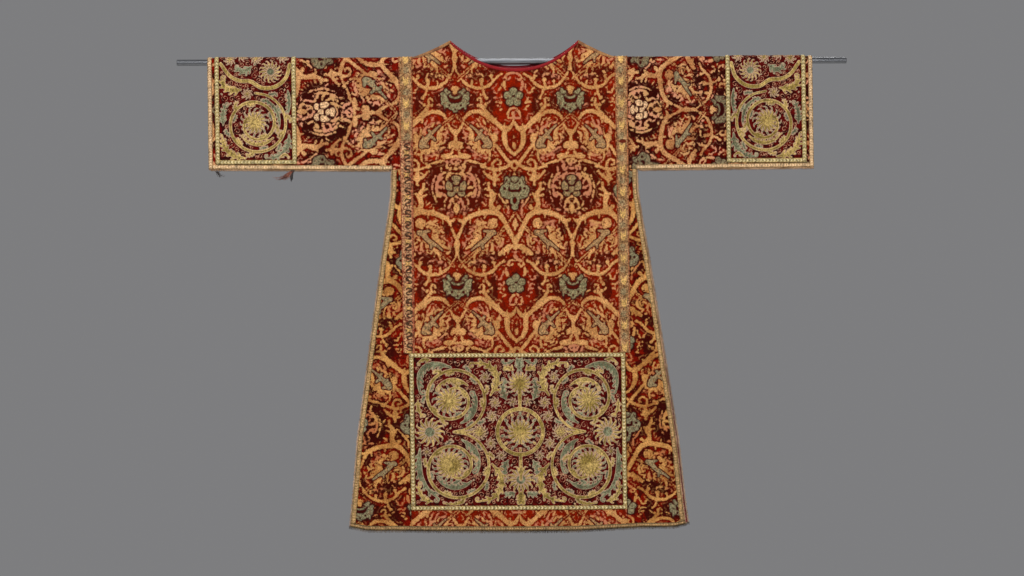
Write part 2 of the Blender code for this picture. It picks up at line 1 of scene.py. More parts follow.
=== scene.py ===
"""Looks of the dalmatic: figured velvet, applied embroidery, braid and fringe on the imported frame.

Metres, +Z up, the front faces -Y. A point of the cloth is (x, s, side, off), as in the part's source:
x along the rod, s the height below the rod or the path length above it, side -1 front or +1 back,
off the distance out from the middle of the wall.
"""
import math

import bpy
import numpy as np
from mathutils import Matrix


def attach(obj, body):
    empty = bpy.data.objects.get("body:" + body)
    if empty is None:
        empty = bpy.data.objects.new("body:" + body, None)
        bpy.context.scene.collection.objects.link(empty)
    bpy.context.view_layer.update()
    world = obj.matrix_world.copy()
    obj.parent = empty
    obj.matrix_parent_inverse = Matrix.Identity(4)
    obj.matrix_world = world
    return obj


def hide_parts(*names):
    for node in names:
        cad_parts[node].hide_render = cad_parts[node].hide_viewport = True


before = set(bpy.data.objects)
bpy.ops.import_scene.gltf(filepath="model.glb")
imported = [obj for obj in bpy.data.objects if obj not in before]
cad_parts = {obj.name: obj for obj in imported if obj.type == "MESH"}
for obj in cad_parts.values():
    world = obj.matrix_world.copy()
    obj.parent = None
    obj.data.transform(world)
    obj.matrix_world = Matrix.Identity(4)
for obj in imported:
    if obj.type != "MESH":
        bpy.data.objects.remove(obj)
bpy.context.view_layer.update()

# ---- sizes repeated from the part's source ----
CLOTH, APPLIED, BRAID, GAP = 0.0028, 0.0012, 0.0010, 0.0003
ROD_RADIUS, ROD_HALF = 0.007, 0.755
WRAP = 0.0089
SEAM_X, UNDERARM_X, CUFF_X = 0.2428, 0.2745, 0.681
UNDERARM_DROP, CUFF_DROP, HEM_DROP = 0.2440, 0.2405, 1.056
NECK_X, PEAK, NECK_CURVE = 0.144, 0.0465, 2.2
NECK_DROP = {-1: 0.017, 1: 0.010}
NECK_OPEN, PEAK_OPEN, SHOULDER_END = 0.004, 0.0008, 0.2275
CLAVUS_TOP_HALF, CLAVUS_LOW_HALF, CLAVUS_JOINT = 0.0150, 0.0125, 0.178
APPAREL_TOP, APPAREL_BOTTOM, APPAREL_BRAID, EDGE_BRAID = 0.657, 1.0095, 0.0095, 0.0095
CUFF_APPAREL_IN, CUFF_APPAREL_OUT, CUFF_APPAREL_DROP = 0.484, 0.665, 0.2302
FOLD_OVER = 0.0065
FRINGE_ROOT, FRINGE_EDGE, FRINGE_HEM = 0.0017, 0.0045, 0.0068
SPREAD = 0.010
LEAN = {-1: 0.010, 1: 0.018}
SET_ENDS, SET_MIDDLE, SET_SPAN = -0.0045, 0.0125, 0.35
HEM_RISE_FROM, HEM_REACH = 1.000, 0.38
SHOULDER_FLAT, CREASE_FADE = 0.197, 0.03
TILT_STATIONS, TILT_ROUNDS = 600, 40
SHOULDER_LINE = ((0.144, 0.0465), (0.168, 0.0335), (0.197, 0.0200), (0.2200, 0.0105), (0.2275, 0.0089))
SIDE_EDGE = ((-1.056, 0.3755), (-0.85, 0.3565), (-0.6, 0.321), (-0.44, 0.298), (-0.36, 0.285),
             (-0.3, 0.276), (-0.244, 0.2745))
HEM_RISE = ((-0.38, 0.0115), (-0.34, 0.0035), (-0.2, 0.001), (0.0, 0.0), (0.12, 0.0005), (0.28, 0.0085),
            (0.355, 0.0095), (0.38, 0.016))
# Folds of each gore, by side: x at the top, x at the hem, half width, depth, level where it starts.
GORE_FOLDS = {
    -1: ((-0.268, -0.322, 0.050, 0.0085, -0.34), (0.268, 0.325, 0.052, 0.0075, -0.36)),
    1: ((-0.262, -0.312, 0.055, 0.0070, -0.32), (0.275, 0.332, 0.045, 0.0080, -0.34)),
}
# Slack of each panel, by side: x, half width, depth, levels where it starts and ends.
WAVES = {
    -1: ((-0.165, 0.062, 0.0030, -0.10, -0.64), (-0.060, 0.058, -0.0025, -0.16, -0.62),
         (0.055, 0.070, 0.0030, -0.12, -0.64), (0.165, 0.055, -0.0025, -0.20, -0.63)),
    1: ((-0.135, 0.070, -0.0025, -0.14, -0.63), (-0.010, 0.070, 0.0035, -0.10, -0.65),
        (0.120, 0.060, -0.0025, -0.18, -0.62), (0.190, 0.045, 0.0025, -0.24, -0.64)),
}
# The sleeves' drag from the rod: x, half width, depth.
SLEEVE_FOLDS = ((-0.365, 0.065, 0.0040), (0.355, 0.060, 0.0035))
ON_CLOTH = (CLOTH / 2 + GAP, CLOTH / 2 + GAP + APPLIED)
ON_APPLIED = (ON_CLOTH[1] + GAP, ON_CLOTH[1] + GAP + BRAID)
FRONT, BACK = -1, 1
WORDS = {FRONT: "front", BACK: "back"}
HANDS = {-1: "left", 1: "right"}

# Creases of the cloth, too small for the solids: ends (x, z), half width, height, on the front.
CREASES = (
    ((-0.300, -0.235), (-0.225, -0.020), 0.016, 0.0016),
    ((-0.345, -0.240), (-0.290, -0.030), 0.020, -0.0015),
    ((-0.430, -0.242), (-0.405, -0.040), 0.022, 0.0013),
    ((0.300, -0.238), (0.235, -0.020), 0.016, 0.0016),
    ((0.350, -0.242), (0.300, -0.050), 0.020, -0.0014),
    ((0.445, -0.240), (0.420, -0.040), 0.024, 0.0013),
    ((-0.262, -0.250), (-0.300, -0.560), 0.012, 0.0016),
    ((0.264, -0.250), (0.300, -0.600), 0.012, 0.0015),
    ((-0.285, -0.420), (-0.360, -1.050), 0.014, -0.0018),
    ((0.290, -0.430), (0.352, -1.050), 0.014, -0.0016),
    ((-0.275, -0.600), (-0.300, -1.050), 0.013, 0.0015),
    ((0.278, -0.620), (0.300, -1.050), 0.013, 0.0014),
    ((-0.150, -0.010), (-0.100, -0.240), 0.022, 0.0012),
    ((0.150, -0.010), (0.095, -0.260), 0.022, 0.0012),
    ((-0.205, -0.060), (-0.190, -0.500), 0.018, -0.0012),
    ((0.205, -0.060), (0.200, -0.520), 0.018, -0.0012),
    ((-0.020, -0.060), (0.010, -0.420), 0.030, -0.0010),
    ((0.090, -0.300), (0.120, -0.650), 0.026, 0.0012),
    ((-0.110, -0.320), (-0.100, -0.650), 0.024, 0.0012),
)


# ---- the shared surface ----
def smooth(t):
    t = np.clip(t, 0.0, 1.0)
    return t * t * (3.0 - 2.0 * t)


def bump(offset, half_width):
    return np.where(np.abs(offset) < half_width, np.cos(0.5 * np.pi * offset / half_width) ** 2, 0.0)


def between(table, value):
    places, values = zip(*table)
    return np.interp(value, places, values)


def creases(x, z, side):
    """Small ridges and hollows along straight lines; the back has them mirrored."""
    total = np.zeros(np.broadcast(x, z).shape)
    for (x0, z0), (x1, z1), half, high in CREASES:
        x0, x1 = -side * x0, -side * x1
        run = math.hypot(x1 - x0, z1 - z0)
        along = ((x - x0) * (x1 - x0) + (z - z0) * (z1 - z0)) / run ** 2
        across = ((x - x0) * (z1 - z0) - (z - z0) * (x1 - x0)) / run
        total += high * bump(across, half) * np.sin(np.pi * np.clip(along, 0.0, 1.0))
    return total


def depth(x, z, side):
    stand = WRAP + SPREAD * -z / HEM_DROP
    for top, low, half_width, deep, start in GORE_FOLDS[side]:
        down = np.clip((start - z) / (start + HEM_DROP), 0.0, 1.0)
        stand = stand + deep * smooth(down) * bump(x - top - (low - top) * down, half_width)
    for place, half_width, deep, start, end in WAVES[side]:
        swell = np.sin(np.pi * np.clip((start - z) / (start - end), 0.0, 1.0)) ** 2
        stand = stand + deep * swell * bump(x - place, half_width)
    for place, half_width, deep in SLEEVE_FOLDS:
        swell = np.where(z > -UNDERARM_DROP - GAP / 2, smooth(-z / UNDERARM_DROP), 0.0)
        stand = stand + deep * swell * bump(x - place, half_width)
    return stand + creases(x, z, side) * smooth(-z / CREASE_FADE)


def seam_height(x):
    return between(SHOULDER_LINE, np.maximum(np.abs(x), NECK_X))


def seam_stand(x):
    out = np.abs(x)
    open_neck = GAP / 2 + PEAK_OPEN + NECK_OPEN * (1.0 - (out / NECK_X) ** 2)
    shoulder = GAP / 2 + PEAK_OPEN * (1.0 - smooth((out - NECK_X) / (SHOULDER_FLAT - NECK_X)))
    return np.where(out < NECK_X, open_neck, shoulder)


def tilt_table():
    x = np.linspace(0.0, SHOULDER_END, TILT_STATIONS)
    low, high = np.zeros_like(x), np.full_like(x, np.pi / 2)
    for _ in range(TILT_ROUNDS):
        angle = 0.5 * (low + high)
        stand = seam_stand(x) + 0.5 * CLOTH * np.cos(angle)
        short = np.cos(angle) * stand + seam_height(x) * np.sin(angle) < WRAP
        low, high = np.where(short, angle, low), np.where(short, high, angle)
    return x, 0.5 * (low + high)


TILT_X, TILT = tilt_table()


def tilt(x):
    return np.where(np.abs(x) >= SHOULDER_END, np.pi / 2, np.interp(np.abs(x), TILT_X, TILT))


def spot(x, s, side, off):
    """World points of the surface, for arrays of x, s and off on one side."""
    x, s, off = np.broadcast_arrays(np.asarray(x, float), np.asarray(s, float), np.asarray(off, float))
    level, above = np.minimum(s, 0.0), np.maximum(s, 0.0)
    angle = np.minimum(above / WRAP, tilt(x))
    along = above - WRAP * angle
    y = (WRAP + off) * np.cos(angle) - along * np.sin(angle)
    z = (WRAP + off) * np.sin(angle) + along * np.cos(angle)
    y = np.where(s > 0.0, y, depth(x, level, side) + off)
    z = np.where(s > 0.0, z, s)
    shift = SET_ENDS + SET_MIDDLE * np.exp(-(x / SET_SPAN) ** 2) - LEAN[side] * level
    lift = between(HEM_RISE, x) * np.clip((-level - HEM_RISE_FROM) / (HEM_DROP - HEM_RISE_FROM), 0.0, 1.0)
    return np.stack([x + shift, side * y, z + lift], axis=-1)


def path_length(x, height):
    angle = tilt(x)
    around = WRAP * np.arcsin(np.clip(height / WRAP, -1.0, 1.0))
    on = WRAP * angle + (height - WRAP * np.sin(angle)) / np.maximum(np.cos(angle), 1e-6)
    return np.where(height <= 0.0, height, np.where(height <= WRAP * np.sin(angle), around, on))


def top_length(x, side):
    out = np.abs(x)
    neck = -NECK_DROP[side] + (PEAK + NECK_DROP[side]) * (out / NECK_X) ** NECK_CURVE
    upper = path_length(x, np.where(out < NECK_X, neck, seam_height(x)))
    return np.where(out >= SHOULDER_END, WRAP * np.pi / 2, upper)


def side_edge(level):
    return between(SIDE_EDGE, level)


def sleeve_edge(x):
    share = np.maximum(np.abs(x) - UNDERARM_X, 0.0) / (CUFF_X - UNDERARM_X)
    return -UNDERARM_DROP + (UNDERARM_DROP - CUFF_DROP) * share


def clavus_half(level):
    return CLAVUS_TOP_HALF + (CLAVUS_LOW_HALF - CLAVUS_TOP_HALF) * np.clip(-level / APPAREL_TOP, 0, 1)


# ---- meshes ----
def add(name, data):
    item = bpy.data.objects.new(name, data)
    bpy.context.scene.collection.objects.link(item)
    return item


def make_mesh(name, points, faces, material, fields=None):
    mesh = bpy.data.meshes.new(name)
    mesh.from_pydata(np.asarray(points).tolist(), [], [tuple(face) for face in faces])
    for field, values in (fields or {}).items():
        layer = mesh.attributes.new(field, "FLOAT", "POINT")
        layer.data.foreach_set("value", np.asarray(values, np.float32))
    mesh.shade_smooth()
    mesh.materials.append(material)
    item = add(name, mesh)
    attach(item, "root")
    return item


PROBE = 0.001               # how far a wall is thinned to see which way is out


def on_sides(x, s, sides, off):
    """The surface for rows that lie on the front or the back; sides is one side, or one for each row."""
    front = np.broadcast_to(np.reshape(sides, (-1, 1)) == FRONT, x.shape)[..., None]
    return np.where(front, spot(x, s, FRONT, off), spot(x, s, BACK, off))


def skin(x, s, sides, low, high, fields=None, rim=True):
    """A wall's outer skin over a grid of x and s, with a rim down to its inner side."""
    x, s = np.broadcast_arrays(x, s)
    rows, columns = x.shape
    outer = on_sides(x, s, sides, high)
    index = np.arange(rows * columns).reshape(rows, columns)
    quads = np.stack([index[:-1, :-1], index[:-1, 1:], index[1:, 1:], index[1:, :-1]], axis=-1).reshape(-1, 4)
    points = outer.reshape(-1, 3)
    values = {field: np.broadcast_to(value, x.shape).reshape(-1) for field, value in (fields or {}).items()}
    middle = quads[(rows // 2) * (columns - 1) + columns // 2 - 1]
    normal = np.cross(points[middle[1]] - points[middle[0]], points[middle[3]] - points[middle[0]])
    outward = (outer - on_sides(x, s, sides, np.asarray(high) - PROBE)).reshape(-1, 3)[middle[0]]
    if rim:
        ring = np.concatenate([index[0], index[1:, -1], index[-1, -2::-1], index[-2:0:-1, 0]])
        inner = on_sides(x, s, sides, low).reshape(-1, 3)[ring]
        lower = len(points) + np.arange(len(ring))
        after = np.roll(ring, -1), np.roll(lower, -1)
        quads = np.concatenate([quads, np.stack([after[0], ring, lower, after[1]], axis=-1)])
        points = np.concatenate([points, inner])
        values = {field: np.concatenate([value, value[ring]]) for field, value in values.items()}
    if normal @ outward < 0.0:
        quads = quads[:, ::-1]
    return points, quads, values


def piece(name, skins, material, replaced=()):
    """One object of one or more skins, in place of the CAD nodes named."""
    points, faces, values, count = [], [], {}, 0
    for some, quads, fields in skins:
        points.append(some)
        faces += (quads + count).tolist()
        count += len(some)
        for field, value in fields.items():
            values.setdefault(field, []).append(value)
    values = {field: np.concatenate(value) for field, value in values.items()}
    item = make_mesh(name, np.concatenate(points), faces, material, values)
    if replaced:
        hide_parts(*replaced)
    return item


def tubes(name, rings, material):
    """One object of many closed tubes: rings is an array (tube, station, corner, xyz)."""
    rings = np.asarray(rings)
    index = np.arange(rings[..., 0].size).reshape(rings.shape[:3])
    turned = np.roll(index, -1, axis=2)
    quads = np.stack([index[:, :-1], turned[:, :-1], turned[:, 1:], index[:, 1:]], axis=-1).reshape(-1, 4)
    faces = quads.tolist() + index[:, 0, ::-1].tolist() + index[:, -1].tolist()
    return make_mesh(name, rings.reshape(-1, 3), faces, material)


# ---- drawing by signed distance ----
def curved(path, steps=6):
    """A smooth line through the points."""
    path = np.asarray(path, float)
    if len(path) < 3:
        return path[0] + np.linspace(0.0, 1.0, steps + 1)[:, None] * (path[-1] - path[0])
    ends = np.concatenate([2 * path[:1] - path[1:2], path, 2 * path[-1:] - path[-2:-1]])
    t = np.linspace(0.0, 1.0, steps, endpoint=False)[:, None]
    line = []
    for a, b, c, d in zip(ends, ends[1:], ends[2:], ends[3:]):
        line.append(0.5 * (2 * b + (c - a) * t + (2 * a - 5 * b + 4 * c - d) * t ** 2
                           + (3 * b - a - 3 * c + d) * t ** 3))
    return np.concatenate(line + [path[-1:]])


STROKE_RUN = 18             # a line is measured in runs of this many segments


class Drawing:
    """Distances to drawn shapes at a set of points: negative inside, and far where nothing is near."""

    def __init__(self, u, v, far):
        self.points = np.stack([np.ravel(u), np.ravel(v)], axis=-1)
        self.shape, self.far, self.layers = np.shape(u), far, {}

    def layer(self, name):
        if name not in self.layers:
            self.layers[name] = np.full(len(self.points), self.far)
        return self.layers[name]

    def near(self, low, high, reach):
        inside = (self.points > np.subtract(low, reach)) & (self.points < np.add(high, reach))
        return np.nonzero(np.all(inside, axis=1))[0]

    def join(self, name, low, high, reach, gap):
        """Joins a shape to a layer: gap gives its distance at points, and it ends within reach of its corners."""
        near = self.near(low, high, self.far + reach)
        if len(near):
            field = self.layer(name)
            field[near] = np.minimum(field[near], gap(self.points[near]))

    def stroke(self, name, path, widths, steps=6):
        """A line with its half widths, given from its start to its end, or one for all."""
        line, widths = curved(path, steps), np.atleast_1d(widths)
        half = np.interp(np.linspace(0, 1, len(line)), np.linspace(0, 1, len(widths)), widths)
        for first in range(0, len(line) - 1, STROKE_RUN):
            end = first + STROKE_RUN + 1
            self.segments(name, line[first:end], half[first:end])

    def segments(self, name, line, half):
        start, run = line[:-1], np.diff(line, axis=0)

        def gap(points):
            from_start = points[:, None] - start
            t = np.clip((from_start * run).sum(-1) / np.maximum((run ** 2).sum(-1), 1e-18), 0.0, 1.0)
            away = np.linalg.norm(from_start - t[..., None] * run, axis=-1)
            return (away - half[:-1] - t * np.diff(half)).min(axis=1)

        self.join(name, line.min(0), line.max(0), half.max(), gap)

    def disc(self, name, centre, radii, angle=0.0):
        """An ellipse, or a circle for one radius."""
        radii = np.broadcast_to(radii, 2)
        turn = np.array([[math.cos(angle), -math.sin(angle)], [math.sin(angle), math.cos(angle)]])

        def gap(points):
            return (np.linalg.norm((points - centre) @ turn / radii, axis=1) - 1.0) * radii.min()

        self.join(name, centre, centre, radii.max(), gap)

    def diamond(self, name, centre, half_u, half_v):
        scale = half_u * half_v / math.hypot(half_u, half_v)

        def gap(points):
            return ((np.abs(points - centre) / (half_u, half_v)).sum(axis=1) - 1.0) * scale

        self.join(name, centre, centre, max(half_u, half_v), gap)

    def cut(self, name, other, margin=0.0):
        """Takes another layer, grown by a margin, out of this one."""
        self.layers[name] = np.maximum(self.layer(name), margin - self.layer(other))

    def get(self, name):
        return self.layer(name).reshape(self.shape)


# ---- the velvet's figure, in units of UNIT, charted on half a cell: u from the pomegranate's axis ----
UNIT = 0.00225
HALF_CELL, REPEAT, CHART_TOP = 57.7, 186.7, 79.0
CHART_STEP, CHART_REACH, CHART_CURVE = 0.25, 6.0, 3
DARK_RIM = 1.4              # the dark ground reaches this far round the flowers
LOOP_HEIGHT, LOOP_EDGE = 0.00035, 1.6
Q = HALF_CELL
# Lines of each layer: the half width or half widths, then u and v of each point.
GOLD_LINES = (
    # arc over the dark flower, its drop and hook
    ((1, 1.7, 1.8, 1.8, 1.5, 1.2), 5.7, 77.3, 9.6, 82.2, 16.3, 86.5, 23, 87.9, 29.7, 87, 35.4, 83.7, 41, 77.3, 46,
     74), (1, 16.6, 85.2, 16.8, 81.4), ((1.5, 1.6), 26, 85.2, 26.4, 80), ((1.2, 1.3), 37.6, 81.1, 36, 76),
    ((1.3, 1.2), 27.3, 88.9, 28.7, 94.2, 31.1, 97.3),
    ((0.9, 1, 1.4), 21.6, 100.6, 23.2, 98, 25.8, 98.8, 25.6, 103.8),
    # band from the hook to the silver axis, and the arch that joins it
    ((1.9, 1.6, 1.8, 2.4, 2.6, 2, 0.8), 25.6, 104.8, 28.7, 109.4, 33.5, 114.8, 38.3, 119.8, 42.1, 124.6, 46.9, 128.2,
     52, 128.8, 55.6, 125.2, Q, 119.8),
    ((1.3, 2, 2.1, 2, 1.6), 9, 118.2, 11.5, 114.8, 16.3, 111.8, 23, 111.4, 27.8, 113.6, 32.5, 117.2, 38, 122.3),
    ((0.9, 0.8), 39.5, 120.8, 40.4, 116.6), ((1, 0.9), 31, 117.8, 32.6, 122.4),
    ((0.9, 0.8), 48.4, 127.8, 48.6, 123.4), ((1.2, 1.6, 1.7), 7.4, 123.4, 4.4, 129, 0, 135),
    # stalks of the lower leaf, doubled
    (0.55, 0, 113.4, 6, 118, 13.5, 124.4), ((0.55, 0.6), 0, 116, 5, 120.2, 11.5, 126),
    ((2, 1.5, 2.4), 0, 130.8, 0, 136.8, 0, 142.8), ((2.6, 3, 2), 1, 145.2, 4, 144.3, 5.6, 146.7),
    (1.6, 0, 145.7, 2.8, 150.7, 5, 155.3), ((2.4, 3, 2.2), 5.5, 155.7, 9.5, 156, 12.4, 156.3),
    ((1.5, 1.2), 0, 155.7, 4, 156.7), ((0.8, 1.7, 1.5, 0.8), 11, 159.7, 15, 161.1, 19.5, 162.1, 25.5, 164.1),
    # arm to the silver axis, its curl and what hangs from it
    ((1.4, 1.4, 1.8, 1.9, 1.7, 1.6), 27, 166.1, 33, 168.2, 38.3, 169.6, 45, 168.6, 51.7, 165.7, 56.5, 162),
    ((1.3, 1.2, 1.2, 1.2, 0.9), 36.8, 168, 35.9, 164.1, 37.8, 160.8, 41.1, 159.4, 44, 161.3, 44, 164.1, 41.1, 164.9),
    ((1.3, 1.4, 1.6), Q, 170.2, 54.8, 165.7, 53, 162.7),
    ((1.2, 1.8, 3, 3, 1.4, 1.2), 37.4, 169.6, 37.8, 173.6, 38.3, 177.6, 37.8, 180.6, 37.8, 184.3),
    ((0.9, 1.6, 1.8), 27.3, 171.4, 31.5, 175.6, 36.4, 179), (0.8, 31.5, 175.6, 34, 172.6),
    (0.7, 40, 176.6, 44.5, 173.2, 43, 171),
    # post on the ogival band
    ((1.2, 1.5, 2, 3.2, 2.2, 3.4), 31.8, 183.3, 32, 188.1, 34.2, 191.4, 35.8, 196.5, 34.2, 203.2, 35.6, 210),
    ((1.1, 1.2), 32, 190.3, 28.6, 188.8), ((0.9, 1.2), 34, 196.4, 28.9, 194.6),
    ((0.9, 1.4), 36.5, 194.9, 39.4, 193.7), ((1, 0.7), 22.6, 213.2, 22, 207.3), ((1.3, 2.1), 38.6, 210.5, 42, 206.9),
    ((0.9, 0.8), 8.2, 220.7, 8.2, 215.8), ((1, 0.9), 28, 213.2, 27.6, 217.9), ((0.9, 0.8), 13.2, 218.3, 13.4, 223.3),
    ((1.4, 2.4, 2.5, 2.7, 3, 2.6, 2.2), 0, 219.1, 6.3, 221.1, 10.5, 218.3, 15.8, 215.2, 22.1, 213.2, 30.5, 211.8,
     36.8, 211.8, 42.1, 214.4, 46, 219.3, 49, 224.9),
    # kite on the pomegranate's axis and its stem
    ((1.9, 1.5, 1.7, 1.8), 8.1, 221.1, 4.9, 227.4, 2.4, 234.1, 0, 238.9),
    ((1.6, 1.8, 3, 1.8, 1.7, 2.6), 0, 237, 0, 240.8, 0, 244, 0, 248, 0, 253.4, 0, 258.2),
    ((1.5, 1), 0.6, 257.2, 4.2, 261.7),
    # stalk and curl of the upper leaf
    (0.6, 36.2, 234.7, 42.1, 231.7, 47.4, 225.6, 52.6, 219.9, 56.6, 212.2),
    (0.6, 37.6, 236.6, 43.4, 233.4, 49, 227.2, 54.2, 221.3, Q, 214.2),
    ((1.1, 1.2, 1.2, 0.8), 31.4, 225.4, 32, 220.9, 35.8, 219.1, 39.2, 221.7, 38.4, 226.2, 35.4, 226.4, 34.9, 223.9),
    (0.55, 22.4, 246.6, 12, 255.7, 1.2, 266.2), (0.55, 24.6, 247.1, 14.2, 257.1, 3.2, 267.6),
    # the crossing and the spread foot on the silver axis
    ((2.2, 2.6, 2.4, 2.2), 48.6, 224.3, 51.4, 230.3, 54.8, 237, Q, 242.7), ((2, 2.4), Q, 239.9, Q, 248),
    (0.9, 56.4, 215.7, 52.8, 224.8, Q, 234.7),
    ((2, 2.9, 2.8, 2.2, 1.8), 56, 246.2, 52, 246.7, 47.6, 249.9, 44.6, 251.5, 42.4, 253.8),
    (1.2, 50, 248.9, 50.4, 252.8), (1, 46.4, 251.5, 46.6, 254.7),
    # vase on the silver axis
    ((2.4, 2.7, 2.6, 2.2, 1.9, 1.6), 49.4, 128.3, 48.2, 133.8, 48.4, 140.3, 49.9, 145.7, 53, 150.5, Q, 154.3),
    ((1.7, 1.7, 1.8), 37.3, 143.2, 42.1, 148.8, 47.8, 156.5, 54, 163.7), ((0.9, 2, 1), Q, 134.3, Q, 138.2, Q, 140.8),
    ((1, 1.9, 1), Q, 142, Q, 145.5, Q, 149.3),
    # cream and peach round the pomegranates
    ((1.1, 2.4, 3.2, 1.2), 0, 203.4, 0, 206, 0, 209, 0, 213.4),
    # the lower leaf
    ((1.2, 2.3, 3, 4.2, 3.2, 2.6, 2), 12.4, 127, 15.4, 132, 15.6, 138, 18.8, 145, 25.4, 150.6, 31, 151, 34.4, 148.4),
    ((1.6, 2), 22.2, 140, 22.4, 144), ((0.9, 0.8), 12.8, 129.4, 9, 129), ((0.9, 1.2), 13.6, 141.6, 12.4, 143.4),
    ((1.3, 1.2), 22.6, 126, 21.2, 123.8), ((1.5, 1.2, 1.2), 33, 151, 33.8, 156, 32.8, 160.4),
    ((3, 3.2, 1.3, 1.1), 38.4, 136, 38.4, 139.2, 37.6, 143, 37.4, 149.8),
    ((0.9, 1, 1.3), 33.4, 128.8, 34, 133, 36.8, 139.4),
    # the upper leaf
    ((1.6, 3, 4.2, 3.8, 2.6), 25.2, 226.8, 21.2, 229.8, 20, 234, 20.8, 237.8, 17.4, 241.2),
    ((2.2, 1.6, 1.1), 17, 243.4, 12.6, 246.6, 8.4, 248.6), ((1.6, 1.3), 14.8, 240.2, 12.2, 243.4),
    ((0.9, 1, 0.9), 33, 240.4, 30.6, 243.2, 28.8, 252.8), ((1, 1.6, 1.4), 28, 244, 26.4, 248, 25.4, 253),
    ((1.4, 1.8, 1.4, 1), 23.4, 248.6, 19.8, 251.4, 17.4, 255, 16.6, 259), ((1, 0.8), 22, 252, 22.6, 256.2),
    ((2.2, 2.8, 1.8), 34.8, 220.8, 35.6, 223.4, 33.8, 228),
    ((1, 1.2, 1.2, 1), 36.8, 236.8, 40.6, 236.4, 42.6, 239.8, 41, 244), ((0.9, 1), 41, 244, 38.6, 241.4),
)
